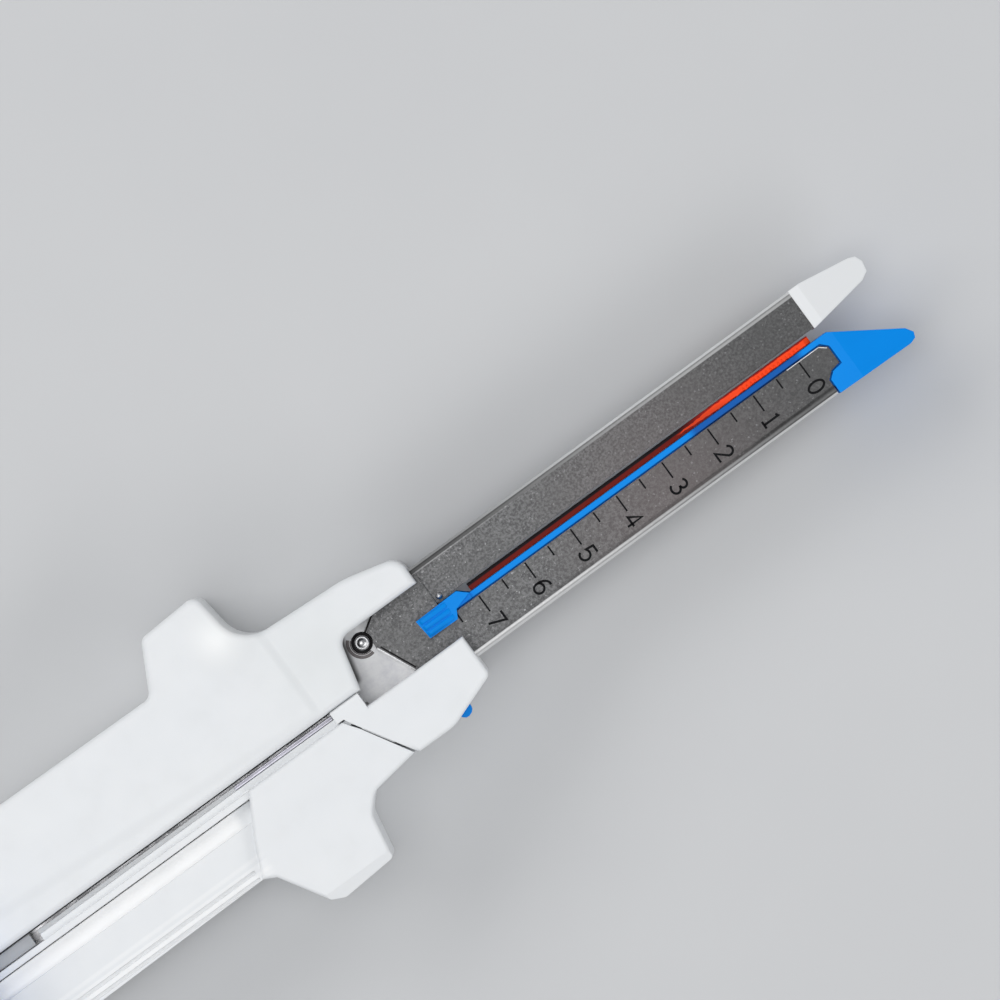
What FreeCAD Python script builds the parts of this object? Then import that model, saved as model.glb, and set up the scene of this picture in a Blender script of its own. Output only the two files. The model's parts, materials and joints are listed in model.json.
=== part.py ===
import FreeCAD, Part
import Sketcher
import math
import os
import re

# Reloadable linear stapler and cutter for open surgery, lying on its far side.
# X runs along the jaws towards their tips, Y from the lever side to the anvil side,
# and Z is up through the width of the handle. Millimetres throughout.
# Sub-parts are drawn about the latch pin: x = 0 at the pin's axis, y = 0 at the top edge
# of the cartridge channel, z = 0 in the middle of the width. One placement, worked out
# from the sizes, then sets them all on the ground with the whole part centred over the origin.

SIZES = {
    # Reach of the whole part from the latch pin
    "steel_reach": 97.4,
    "tip_long": 14.0,
    "rear_reach": 116.0,
    "front_reach": 14.1,
    # Latch pin
    "pin_height": 5.1,
    "pin_radius": 1.3,
    "pin_length": 13.8,
    "pin_dome": 0.5,
    "notch_gap": 0.7,
    # Steel channels of the two jaws
    "channel_width": 12.4,
    "channel_depth": 9.0,
    "channel_lip": 0.2,
    "sheet_gauge": 0.9,
    "bend_radius": 1.4,
    "slip_gap": 0.15,
    "anvil_face": 3.0,
    "anvil_height": 7.8,
    "anvil_inset": 16.0,
    "ear_rear": 10.0,
    "ear_front": 6.0,
    "ear_drop": 4.9,
    "ear_step": 3.8,
    "wall_front": 14.8,
    "wall_top": 9.5,
    "floor_end": 8.3,
    "channel_rear": 4.0,
    "plate_thick": 1.2,
    "plate_rear": 7.0,
    "slot_stop": 3.9,
    "knife_gap": 0.15,
    # Plastic tips
    "tip_half": 5.6,
    "tip_plug": 7.0,
    "tip_drop": 0.2,
    "tip_end_half": 2.6,
    # Staple cartridge
    "move_gap": 0.3,
    "deck_top": 1.1,
    "cartridge_rear": 12.0,
    "pan_thick": 0.3,
    "groove_inner": 1.4,
    "groove_outer": 4.2,
    "groove_top": 2.4,
    "staple_first": 18.6,
    "staple_pitch": 3.9,
    "staple_count": 19,
    "row_inner": 2.1,
    "row_outer": 3.5,
    "pocket_long": 3.5,
    "pocket_wide": 0.7,
    "staple_long": 3.0,
    "staple_wire": 0.24,
    "staple_leg": 3.1,
    "driver_long": 2.6,
    "driver_tall": 1.8,
    "form_depth": 0.35,
    "lug_thick": 1.4,
    # Staple retainer
    "retainer_inset": 2.0,
    "retainer_rear": 21.0,
    "retainer_half": 4.5,
    "retainer_gap": 0.2,
    "wing_run": 28.7,
    "wing_level": 15.4,
    "wing_half": 6.3,
    # Handle covers
    "handle_width": 25.0,
    "cover_wall": 1.6,
    "rim_round": 1.1,
    "slot_line": 1.4,
    "mouth_line": 8.0,
    "throat_top": 2.6,
    "throat_foot": 4.9,
    "nose_top": 13.6,
    "brow_reach": 4.0,
    "brow_height": 16.1,
    "neck_height": 17.3,
    "back_height": 19.3,
    "rear_height": 20.2,
    "wing_foot_front": 17.4,
    "wing_tip_front": 18.8,
    "wing_tip_rear": 30.9,
    "wing_foot_rear": 35.8,
    "wing_height": 29.3,
    # Front cover of the cartridge half and its rails
    "rail_line": 2.9,
    "ledge_line": 4.2,
    "rail_foot": 5.4,
    "rail_inner": 4.6,
    "rail_outer": 11.4,
    "lip_inner": 8.6,
    "lip_inset": 40.1,
    "step_line": 2.1,
    "step_outer": 10.3,
    "rail_inset": 3.0,
    "head_rear": 11.8,
    "head_front": 5.7,
    "bib_line": 4.4,
    "bib_front": 15.1,
    "bib_chin": 12.6,
    "bib_heel": 4.8,
    "bib_floor": 16.3,
    "bib_corner": 2.8,
    "seam_top": 9.6,
    "seam_foot": 3.4,
    "seam_low": 15.6,
    "seam_gap": 0.2,
    "seam_start": 3.9,
    "seam_turn": 10.4,
    "seam_relief": 0.35,
    # Locking lever
    "pivot_front": 3.6,
    "pivot_drop": 11.0,
    "pivot_radius": 1.5,
    "pivot_fit": 0.05,
    "pivot_seat": 4.4,
    "pivot_inner": 2.9,
    "lever_top": 4.1,
    "lever_line": 5.6,
    "lever_wing_low": 29.4,
    "wing_bevel": 2.3,
    "bevel_drop": 0.9,
    "step_back": 33.5,
    "step_slant": 2.2,
    "step_foot": 12.0,
    "grip_half": 10.4,
    "grip_low": 18.6,
    "grip_inset": 2.0,
    "band_line": 9.0,
    "band_deep": 0.4,
    "ridge_line": 16.4,
    "ridge_pitch": 1.5,
    "ridge_wide": 0.6,
    "ridge_deep": 0.3,
    "latch_inner": 3.0,
    "latch_outer": 4.0,
    "latch_tail": 34.0,
    "window_half": 4.4,
    "window_front": 2.9,
    # Firing slide
    "knife_thick": 0.8,
    "wedge_inner": 1.7,
    "wedge_outer": 2.7,
    "bar_low": 7.4,
    "bar_top": 1.7,
    "wedge_top": 4.9,
    "blade_top": 4.4,
    "bridge_inset": 16.0,
    "bridge_long": 8.0,
    "arm_long": 14.3,
    "arm_inner": 6.6,
    "arm_outer": 8.2,
    "carriage_low": 4.0,
    "core_half": 2.9,
    "neck_low": 1.95,
    "neck_top": 1.55,
    "knob_gap": 0.5,
    "knob_tall": 9.0,
    "knob_long": 16.0,
    "knob_low": 9.5,
    "knob_high": 5.5,
    # Rear joint of the two halves
    "rear_pin_inset": 8.0,
    "rear_pin_height": 2.5,
    "rear_pin_radius": 1.5,
    "rear_fit": 0.05,
    "ear_half": 3.5,
    "ear_top": 6.2,
    "tail_inset": 12.5,
    "tail_line": 1.9,
    "tail_pin_drop": 3.5,
    "tail_pin_radius": 0.8,
    # Release button
    "button_reach": 7.6,
    "button_drop": 15.25,
    "button_tilt": 19.3,
    "button_half": 1.3,
    "button_long": 5.0,
    "button_proud": 1.3,
    "spring_room": 3.4,
    "spring_wire": 0.25,
    "spring_radius": 0.9,
    "spring_turns": 4.0,
    # Fasteners
    "rivet_radius": 1.5,
    "boss_radius": 3.2,
    "screw_radius": 1.2,
    "screw_head": 2.2,
    "head_depth": 1.4,
    "screw_long": 16.0,
    "rear_screw_inset": 16.0,
}

# Places that follow from the sizes, each measured from one end of the part
PLACES = {
    "tip_reach": "(steel_reach + tip_long)",
    "slot_front": "(steel_reach - slot_stop)",
    "retainer_front": "(steel_reach - retainer_inset)",
    "wing_start": "(steel_reach - retainer_inset - wing_run)",
    "wing_full": "(steel_reach - retainer_inset - wing_level)",
    "anvil_rear": "(rear_reach - anvil_inset)",
    "lip_rear": "(rear_reach - lip_inset)",
    "rail_rear": "(rear_reach - rail_inset)",
    "grip_rear": "(rear_reach - grip_inset)",
    "bridge_rear": "(rear_reach - bridge_inset)",
    "bridge_front": "(rear_reach - bridge_inset - bridge_long)",
    "arm_front": "(rear_reach - bridge_inset - bridge_long - arm_long)",
    "rear_pin_back": "(rear_reach - rear_pin_inset)",
    "tail_front": "(rear_reach - tail_inset)",
    "rear_screw": "(rear_reach - rear_screw_inset)",
}
NAME = r"\b([a-z]+(?:_[a-z]+)+)\b"

doc = FreeCAD.newDocument("LinearStapler")
sheet = doc.addObject("Spreadsheet::Sheet", "Sizes")
for row, (alias, value) in enumerate(SIZES.items(), start=1):
    sheet.set("A%d" % row, alias)
    sheet.set("B%d" % row, str(value))
    sheet.setAlias("B%d" % row, alias)
doc.recompute()

HALF = "handle_width / 2"
CHANNEL_HALF = "channel_width / 2"
CHANNEL_BORE = "channel_width / 2 - sheet_gauge"
ANVIL_HALF = "channel_width / 2 - sheet_gauge - slip_gap"
ANVIL_BORE = "channel_width / 2 - 2 * sheet_gauge - slip_gap"
ANVIL_TOP = "anvil_face + anvil_height"
COVER_BORE = "handle_width / 2 - cover_wall"
KNIFE_HALF = "knife_thick / 2"
SLOT_HALF = "knife_thick / 2 + knife_gap"
SHIFT = {
    "x": "(rear_reach - tip_reach) / 2",
    "y": "(lever_wing_low - wing_height) / 2",
    "z": "handle_width / 2",
}
UPPER_RIVETS = [("-20", "pin_height + 1.9"), ("-72", "pin_height + 1.9")]
PARTS = []


def bound(text):
    """The text as an expression in the sheet's names. Every name holds an underscore."""
    full = re.sub(NAME, lambda match: PLACES.get(match.group(1), match.group(1)), str(text))
    return re.sub(NAME, r"Sizes.\1", full)


def number(text):
    """The value of an expression in the sheet's names."""
    value = sheet.evalExpression(bound(text))
    return float(getattr(value, "Value", value))


def new_body(label):
    """One piece of the stapler, placed with all the others."""
    body = doc.addObject("PartDesign::Body", label)
    body.Label = label
    for axis, text in SHIFT.items():
        body.setExpression("Placement.Base." + axis, bound(text))
    PARTS.append(body)
    return body


def origin_plane(body, role):
    """One of the body's own origin planes."""
    return next(item for item in body.Origin.OriginFeatures if item.Role == role)


def new_sketch(body, name, role, level):
    """An empty sketch on an origin plane, lifted to a level."""
    sketch = body.newObject("Sketcher::SketchObject", name)
    sketch.AttachmentSupport = [(origin_plane(body, role), "")]
    sketch.MapMode = "FlatFace"
    sketch.setExpression(".AttachmentOffset.Base.z", bound(level))
    return sketch


def pin_point(sketch, geometry, point, place):
    """Ties one point of a sketch to two expressions."""
    for kind, text in zip(("DistanceX", "DistanceY"), place):
        value = number(text)
        index = sketch.addConstraint(Sketcher.Constraint(kind, -1, 1, geometry, point, value))
        sketch.setExpression("Constraints[%d]" % index, bound(text))


def draw_outline(sketch, points):
    """A closed outline of straight edges."""
    places = [FreeCAD.Vector(number(a), number(b), 0) for a, b in points]
    first = sketch.GeometryCount
    count = len(places)
    for index in range(count):
        line = Part.LineSegment(places[index], places[(index + 1) % count])
        sketch.addGeometry(line, False)
    for index in range(count):
        here = first + index
        after = first + (index + 1) % count
        sketch.addConstraint(Sketcher.Constraint("Coincident", here, 2, after, 1))
    for index, place in enumerate(points):
        pin_point(sketch, first + index, 1, place)


def draw_circle(sketch, place, radius):
    """A circle about one point."""
    centre = FreeCAD.Vector(number(place[0]), number(place[1]), 0)
    circle = Part.Circle(centre, FreeCAD.Vector(0, 0, 1), number(radius))
    geometry = sketch.addGeometry(circle, False)
    pin_point(sketch, geometry, 3, place)
    index = sketch.addConstraint(Sketcher.Constraint("Radius", geometry, number(radius)))
    sketch.setExpression("Constraints[%d]" % index, bound(radius))


def add(body, name, shape, low, high, role="XY_Plane"):
    """Material between two levels, from an outline or a circle."""
    sketch = new_sketch(body, name + "_sketch", role, low)
    draw_shape(sketch, shape)
    feature = body.newObject("PartDesign::Pad", name)
    feature.Profile = sketch
    feature.setExpression("Length", bound("(%s) - (%s)" % (high, low)))
    doc.recompute()
    return feature


def cut(body, name, shape, low, high, role="XY_Plane"):
    """A cut between two levels, checked to have taken material away."""
    before = body.Shape.Volume
    sketch = new_sketch(body, name + "_sketch", role, high)
    draw_shape(sketch, shape)
    feature = body.newObject("PartDesign::Pocket", name)
    feature.Profile = sketch
    feature.setExpression("Length", bound("(%s) - (%s)" % (high, low)))
    doc.recompute()
    if not body.Shape.Volume < before:
        raise RuntimeError("%s cut nothing from %s" % (name, body.Label))
    return feature


def draw_shape(sketch, shape):
    """An outline is a list of points; a circle is its centre and radius; both may repeat."""
    if isinstance(shape, dict):
        for outline in shape["outlines"]:
            draw_outline(sketch, outline)
    elif isinstance(shape, tuple):
        draw_circle(sketch, shape[0], shape[1])
    else:
        draw_outline(sketch, shape)


def repeat(body, name, feature, pitch, count, role="X_Axis"):
    """The same feature again and again along the jaws."""
    pattern = body.newObject("PartDesign::LinearPattern", name)
    pattern.Originals = [feature]
    axis = next(item for item in body.Origin.OriginFeatures if item.Role == role)
    pattern.Direction = (axis, [""])
    pattern.Mode = "Spacing"
    pattern.setExpression("Offset", bound(pitch))
    pattern.setExpression("Occurrences", bound(count))
    body.Tip = pattern
    doc.recompute()
    return pattern


def upright_edges(body, places):
    """Names of the edges along Z that stand at the given places."""
    names = []
    for place in places:
        x, y = number(place[0]), number(place[1])
        for index, edge in enumerate(body.Tip.Shape.Edges, start=1):
            ends = [vertex.Point for vertex in edge.Vertexes]
            if len(ends) != 2 or abs(ends[0].z - ends[1].z) < 0.2:
                continue
            if all(math.hypot(end.x - x, end.y - y) < 0.02 for end in ends):
                names.append("Edge%d" % index)
    return names


def round_corners(body, name, places, radius):
    """Rounds the outline's corners at the given places."""
    names = upright_edges(body, places)
    if len(names) < len(places):
        raise RuntimeError("%s finds %d of %d corners" % (name, len(names), len(places)))
    return dress(body, name, names, "PartDesign::Fillet", "Radius", radius)


def level_edges(body, axis, height, keep=None):
    """Names of the edges that lie at one height along an axis."""
    names = []
    for index, edge in enumerate(body.Tip.Shape.Edges, start=1):
        box = edge.BoundBox
        low = getattr(box, axis.upper() + "Min")
        high = getattr(box, axis.upper() + "Max")
        if abs(low - height) < 1e-3 and abs(high - height) < 1e-3:
            if keep is None or keep(edge):
                names.append("Edge%d" % index)
    return names


def dress(body, name, names, kind, size, value):
    """A fillet or a chamfer on named edges."""
    base = body.Tip
    feature = body.newObject(kind, name)
    feature.Base = (base, names)
    feature.setExpression(size, bound(value))
    doc.recompute()
    return feature


def soften_rim(body, name, height, radius, keep=None):
    """Rounds the rim of the face at one height."""
    names = level_edges(body, "z", number(height), keep)
    return dress(body, name, names, "PartDesign::Fillet", "Radius", radius)


def span(side, inner, outer):
    """Levels between two distances from the middle, on the near or the far side."""
    if side > 0:
        return "(%s)" % inner, "(%s)" % outer
    return "-(%s)" % outer, "-(%s)" % inner


def box_outline(left, right, low, high):
    """The four corners of an upright rectangle."""
    return [(left, low), (right, low), (right, high), (left, high)]


def anvil_channel():
    """Upper jaw: a folded channel, open downwards, with an ear each side at the latch pin."""
    body = new_body("anvil_channel")
    half = ANVIL_HALF
    profile = [
        ("-anvil_rear", "anvil_face"),
        ("-ear_rear - 1", "anvil_face"),
        ("-ear_rear", "-ear_step"),
        ("-head_front + move_gap", "-ear_step"),
        ("-head_front + move_gap", "-ear_drop"),
        ("ear_front - 1.5", "-ear_drop"),
        ("ear_front", "anvil_face"),
        ("steel_reach", "anvil_face"),
        ("steel_reach", ANVIL_TOP),
        ("-anvil_rear", ANVIL_TOP),
    ]
    add(body, "blank", profile, "-(%s)" % half, half)
    bends = level_edges(body, "y", number(ANVIL_TOP), lambda e: e.Length > 100)
    dress(body, "bends", bends, "PartDesign::Fillet", "Radius", "bend_radius")
    inside = box_outline("-anvil_rear - 1", "steel_reach + 1", "-ear_drop - 1",
                         "anvil_face + anvil_height - sheet_gauge")
    cut(body, "inside", inside, "-(%s)" % ANVIL_BORE, ANVIL_BORE)
    cut(body, "pin_hole", (("0", "pin_height"), "pin_radius"), "-(%s) - 1" % half, "%s + 1" % half)
    for index, place in enumerate(UPPER_RIVETS):
        hole = (place, "rivet_radius")
        cut(body, "rivet_hole_%d" % index, hole, "-(%s) - 1" % half, "%s + 1" % half)


def anvil_plate():
    """Anvil: closes the upper channel, with a knife slot and forming pockets."""
    body = new_body("anvil_plate")
    plate = box_outline("plate_rear", "steel_reach", "anvil_face", "anvil_face + plate_thick")
    add(body, "plate", plate, "-(%s)" % ANVIL_BORE, ANVIL_BORE)
    slot = box_outline("plate_rear - 1", "slot_front", "anvil_face - 1", "anvil_face + plate_thick + 1")
    cut(body, "knife_slot", slot, "-(%s)" % SLOT_HALF, SLOT_HALF)
    pockets = {"outlines": staple_windows()}
    feature = cut_up(body, "forming_pockets", pockets, "anvil_face", "anvil_face + form_depth")
    repeat(body, "pocket_rows", feature, "staple_pitch", "staple_count")


def staple_windows():
    """One staple's window in each of the four rows, seen from above the deck."""
    windows = []
    for side in ("", "-"):
        for row, lag in (("row_inner", "0"), ("row_outer", "staple_pitch / 2")):
            left = "staple_first + %s" % lag
            low = "%s%s - pocket_wide / 2" % (side, row)
            high = "%s%s + pocket_wide / 2" % (side, row)
            windows.append(box_outline(left, left + " + pocket_long", low, high))
    return windows


def cut_up(body, name, shape, low, high):
    """A cut between two heights, drawn in plan. On this plane z is drawn upwards."""
    before = body.Shape.Volume
    sketch = new_sketch(body, name + "_sketch", "XZ_Plane", "-(%s)" % low)
    draw_shape(sketch, shape)
    feature = body.newObject("PartDesign::Pocket", name)
    feature.Profile = sketch
    feature.setExpression("Length", bound("(%s) - (%s)" % (high, low)))
    doc.recompute()
    if not body.Shape.Volume < before:
        raise RuntimeError("%s cut nothing from %s" % (name, body.Label))
    return feature


def taper_sides(body, name, start, end, half, end_half, low, high):
    """Cuts both sides of a tip to a taper in plan."""
    outlines = []
    for side in ("", "-"):
        outlines.append([
            (start, "%s(%s)" % (side, half)),
            (end + " + 0.5", "%s(%s)" % (side, end_half)),
            (end + " + 0.5", "%s(%s + 2)" % (side, half)),
            (start, "%s(%s + 2)" % (side, half)),
        ])
    return cut_up(body, name, {"outlines": outlines}, low, high)


def anvil_tip():
    """White tip that plugs the front of the upper channel."""
    body = new_body("anvil_tip")
    outline = [
        ("steel_reach", "anvil_face - tip_drop"),
        ("tip_reach - 2", "anvil_face + 1.7"),
        ("tip_reach - 0.4", "anvil_face + 2.6"),
        ("tip_reach", "anvil_face + 4.5"),
        ("tip_reach - 0.6", "anvil_face + 5.9"),
        ("tip_reach - 1.8", "anvil_face + 6.4"),
        ("steel_reach + 2.4", ANVIL_TOP + " + 0.1"),
        ("steel_reach", ANVIL_TOP + " + 0.1"),
    ]
    add(body, "nose", outline, "-tip_half", "tip_half")
    taper_sides(body, "taper", "steel_reach + 2", "tip_reach", "tip_half", "tip_end_half",
                "anvil_face - 1", ANVIL_TOP + " + 1")
    plug = box_outline("steel_reach - tip_plug", "steel_reach + 0.5",
                       "anvil_face + plate_thick", "anvil_face + anvil_height - sheet_gauge")
    add(body, "plug", plug, "-(%s)" % ANVIL_BORE, ANVIL_BORE)


def upper_outline():
    """Outline of the anvil half's covers, from the mouth round by the slot and the wing."""
    return [
        ("front_reach", "mouth_line"),
        ("-throat_top", "mouth_line"),
        ("-throat_foot", "-slot_line"),
        ("-rear_reach", "-slot_line"),
        ("-rear_reach", "rear_height"),
        ("-wing_foot_rear", "back_height"),
        ("-wing_tip_rear", "wing_height - 0.7"),
        ("-wing_tip_front", "wing_height"),
        ("-wing_foot_front", "neck_height"),
        ("brow_reach", "brow_height"),
        ("front_reach", "nose_top"),
    ]


UPPER_SCREWS = [("-25.5", "22.5"), ("-62", "15.2"), ("-rear_screw", "15.2")]


def upper_cover(label, side):
    """One of the two shells round the anvil half."""
    body = new_body(label)
    outline = upper_outline()
    low, high = span(side, "0", HALF)
    add(body, "block", outline, low, high)
    round_corners(body, "front_corner", [outline[10]], "3")
    round_corners(body, "brow", [outline[9]], "14")
    round_corners(body, "wing_sweep", [outline[8]], "6.5")
    round_corners(body, "wing_tips", [outline[7], outline[6]], "1.9")
    round_corners(body, "wing_heel", [outline[5]], "2")
    round_corners(body, "rear_top", [outline[4]], "7")
    round_corners(body, "rear_foot", [outline[3]], "3")
    round_corners(body, "throat", [outline[1]], "2.2")
    face = HALF if side > 0 else "-(%s)" % HALF
    soften_rim(body, "rim", face, "rim_round")
    wall = "cover_wall"
    hollow = [
        ("front_reach - %s" % wall, "-slot_line - 1"),
        ("-rear_reach + %s" % wall, "-slot_line - 1"),
        ("-rear_reach + %s" % wall, "rear_height - 4.4"),
        ("-rear_reach + 4.4", "rear_height - %s" % wall),
        ("-wing_foot_rear + 0.6", "back_height - %s" % wall),
        ("-wing_tip_rear + 1.2", "wing_height - 2.6"),
        ("-wing_tip_front - 1.8", "wing_height - 2.2"),
        ("-wing_foot_front - 2.2", "neck_height - %s" % wall),
        ("brow_reach - 0.5", "brow_height - %s" % wall),
        ("front_reach - %s" % wall, "nose_top - 2.6"),
    ]
    low, high = span(side, "0", COVER_BORE)
    cut(body, "hollow", hollow, low, high)
    low, high = span(side, "0", "%s + slip_gap" % CHANNEL_HALF)
    cut(body, "mouth", box_outline("front_reach - 4", "front_reach + 1", "mouth_line - 1",
                                   ANVIL_TOP), low, high)
    for index, place in enumerate(UPPER_RIVETS):
        low, high = span(side, ANVIL_HALF, COVER_BORE + " + 0.1")
        add(body, "rivet_boss_%d" % index, (place, "boss_radius"), low, high)
        low, high = span(side, "%s - 0.5" % ANVIL_HALF, COVER_BORE)
        cut(body, "rivet_bore_%d" % index, (place, "rivet_radius"), low, high)
    for index, place in enumerate(UPPER_SCREWS):
        low, high = span(side, "0", COVER_BORE + " + 0.1")
        add(body, "screw_boss_%d" % index, (place, "screw_head + 0.8"), low, high)
        depth = HALF + " + 1" if side < 0 else "screw_long - handle_width / 2 + head_depth"
        low, high = span(side, "-0.5", depth)
        cut(body, "screw_bore_%d" % index, (place, "screw_radius"), low, high)
        if side < 0:
            low, high = span(side, "%s - head_depth" % HALF, HALF + " + 1")
            cut(body, "screw_sink_%d" % index, (place, "screw_head"), low, high)
    rear = ("-rear_pin_back", "rear_pin_height")
    low, high = span(side, "ear_half + move_gap", COVER_BORE + " + 0.1")
    add(body, "rear_boss", (rear, "boss_radius + 0.2"), low, high)
    low, high = span(side, "ear_half", COVER_BORE)
    cut(body, "rear_bore", (rear, "rear_pin_radius"), low, high)


def pin(label, place, radius, low, high):
    """A plain round pin across the width."""
    body = new_body(label)
    add(body, "shank", (place, radius), low, high)
    return body


def latch_pin():
    """Pin that the latch pulls on, with domed ends."""
    body = pin("latch_pin", ("0", "pin_height"), "pin_radius", "-pin_length / 2", "pin_length / 2")
    for side in (1, -1):
        ends = level_edges(body, "z", side * number("pin_length / 2"))
        dress(body, "dome_%s" % ("near" if side > 0 else "far"), ends,
              "PartDesign::Chamfer", "Size", "pin_dome")


def group(label, pieces):
    """Several like solids that share one node."""
    feature = doc.addObject("Part::Feature", label)
    feature.Label = label
    feature.Shape = Part.makeCompound(pieces)
    feature.Placement = FreeCAD.Placement(shift_vector(), FreeCAD.Rotation())
    PARTS.append(feature)
    return feature


def shift_vector():
    """The one move that sets the part on the ground over the origin."""
    return FreeCAD.Vector(*[number(text) for text in SHIFT.values()])


def rod(x, y, radius, low, high):
    """A round rod across the width, between two levels."""
    place = FreeCAD.Vector(number(x), number(y), number(low))
    return Part.makeCylinder(number(radius), number(high) - number(low), place)


def pivot_pin(side):
    """One of the two pins that the lever turns on."""
    low, high = span(side, "pivot_inner", COVER_BORE)
    return rod("pivot_front", "-pivot_drop", "pivot_radius", low, high)


def screw(place, face=HALF, end="screw_long - handle_width / 2"):
    """A screw driven from the far side, its head sunk in the face at that distance."""
    x, y = place
    low = "-(%s) + 0.2" % face
    head = rod(x, y, "screw_head - 0.05", low, "-(%s) + head_depth" % face)
    shank = rod(x, y, "screw_radius - 0.05", low, end)
    recess = rod(x, y, "screw_radius * 0.7", low, "-(%s) + 1" % face)
    return head.fuse(shank).cut(recess)


def front_outline():
    """Outline of the cartridge half's front cover."""
    return [
        ("bib_front", "-bib_line"),
        ("-head_front", "-bib_line"),
        ("-head_front", "-slot_line - 0.2"),
        ("-head_rear", "-slot_line - 0.2"),
        ("-head_rear", "-seam_start"),
        ("-seam_turn", "-seam_start"),
        ("-seam_top", "-rail_foot"),
        ("-seam_foot", "-seam_low"),
        ("-bib_corner", "-bib_floor"),
        ("bib_heel", "-bib_floor"),
        ("bib_front", "-bib_chin"),
    ]


FRONT_SCREWS = [("11.6", "-11.3")]
FRONT_RIVETS = [("10.8", "-7")]


def front_cover(label, side):
    """One of the two shells round the cartridge half, with its long rail."""
    body = new_body(label)
    outline = front_outline()
    low, high = span(side, "0", HALF)
    add(body, "block", outline, low, high)
    round_corners(body, "chin", [outline[10]], "1.4")
    round_corners(body, "heel", [outline[9]], "6")
    face = HALF if side > 0 else "-(%s)" % HALF
    front = number("-head_front + 0.5")
    seam = number("-seam_foot - 0.1")
    below = number("-bib_line - 0.5")
    soften_rim(body, "rim", face, "rim_round * 0.6", lambda e: e.BoundBox.XMax > front
               and not (e.BoundBox.XMin < seam and e.BoundBox.YMax < below))
    wall = "cover_wall"
    hollow = [
        ("bib_front - %s" % wall, "-bib_line + 1"),
        ("-head_front + 0.5", "-bib_line + 1"),
        ("-head_front + 0.5", "-slot_line + 1"),
        ("-head_rear - 1", "-slot_line + 1"),
        ("-head_rear - 1", "-rail_foot - 1"),
        ("-seam_top + 2.2", "-rail_foot - 1"),
        ("-seam_foot + 2", "-seam_low + 1.8"),
        ("bib_heel - 0.5", "-bib_floor + %s" % wall),
        ("bib_front - %s" % wall, "-bib_chin + 1.2"),
    ]
    low, high = span(side, "0", COVER_BORE)
    cut(body, "hollow", hollow, low, high)
    low, high = span(side, "0", CHANNEL_HALF)
    cut(body, "mouth", box_outline("bib_front - 4", "bib_front + 1", "-channel_depth", "0"), low, high)
    low, high = span(side, "0", "window_half")
    cut(body, "latch_window", box_outline("-head_rear - 1", "window_front", "-bib_floor - 1", "0"),
        low, high)
    rail = box_outline("-rail_rear", "-head_front", "-rail_foot", "-ledge_line")
    low, high = span(side, "rail_inner", "rail_outer")
    add(body, "rail", rail, low, high)
    lip = box_outline("-lip_rear", "-head_rear + 0.5", "-ledge_line - 0.5", "-rail_line")
    low, high = span(side, "lip_inner", "rail_outer - 0.4")
    add(body, "lip", lip, low, high)
    step = box_outline("-lip_rear", "-head_rear + 0.5", "-rail_line - 0.5", "-step_line")
    low, high = span(side, "lip_inner", "step_outer")
    add(body, "lip_step", step, low, high)
    tail = box_outline("-rail_rear", "-tail_front", "-ledge_line - 0.5", "-tail_line")
    low, high = span(side, "rail_inner", "arm_outer")
    add(body, "tail", tail, low, high)
    low, high = span(side, "rail_inner - 1", "arm_outer + 1")
    tail_pin = (("-rear_pin_back", "-tail_pin_drop"), "tail_pin_radius")
    cut(body, "tail_bore", tail_pin, low, high)
    for index, place in enumerate(FRONT_RIVETS):
        low, high = span(side, CHANNEL_HALF, COVER_BORE + " + 0.1")
        add(body, "rivet_boss_%d" % index, (place, "rivet_radius + 0.8"), low, high)
        low, high = span(side, CHANNEL_HALF + " - 0.5", COVER_BORE)
        cut(body, "rivet_bore_%d" % index, (place, "rivet_radius"), low, high)
    for index, place in enumerate(FRONT_SCREWS):
        low, high = span(side, "0", COVER_BORE + " + 0.1")
        add(body, "screw_boss_%d" % index, (place, "screw_head - 0.2"), low, high)
        depth = HALF + " + 1" if side < 0 else "screw_long - handle_width / 2 + head_depth"
        low, high = span(side, "-0.5", depth)
        cut(body, "screw_bore_%d" % index, (place, "screw_radius"), low, high)
        if side < 0:
            low, high = span(side, "%s - head_depth" % HALF, HALF + " + 1")
            cut(body, "screw_sink_%d" % index, (place, "screw_head"), low, high)
    low, high = span(side, "pivot_seat", COVER_BORE + " + 0.1")
    pivot = ("pivot_front", "-pivot_drop")
    add(body, "pivot_boss", (pivot, "pivot_radius + 0.4"), low, high)
    low, high = span(side, "pivot_seat - 1", COVER_BORE)
    cut(body, "pivot_bore", (pivot, "pivot_radius"), low, high)
    low, high = span(side, "-1", "button_long / 2 + move_gap")
    cut(body, "button_gate", button_gate(), low, high)


def button_axes():
    """The button's place, and the direction in which it stands out."""
    tilt = math.radians(number("button_tilt"))
    place = FreeCAD.Vector(number("button_reach"), -number("button_drop"), 0)
    outward = FreeCAD.Vector(math.sin(tilt), -math.cos(tilt), 0)
    return place, outward


def button_gate():
    """Opening in the cover's lower edge that the button comes out of."""
    tilt = "button_tilt * 1deg"
    room = "(button_half + move_gap)"
    corners = []
    for along, outward in ((-1, -3), (1, -3), (1, 3), (-1, 3)):
        x = "button_reach + %d * %s * cos(%s) + %d * sin(%s)" % (along, room, tilt, outward, tilt)
        y = "-button_drop + %d * %s * sin(%s) - %d * cos(%s)" % (along, room, tilt, outward, tilt)
        corners.append((x, y))
    return corners


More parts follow.
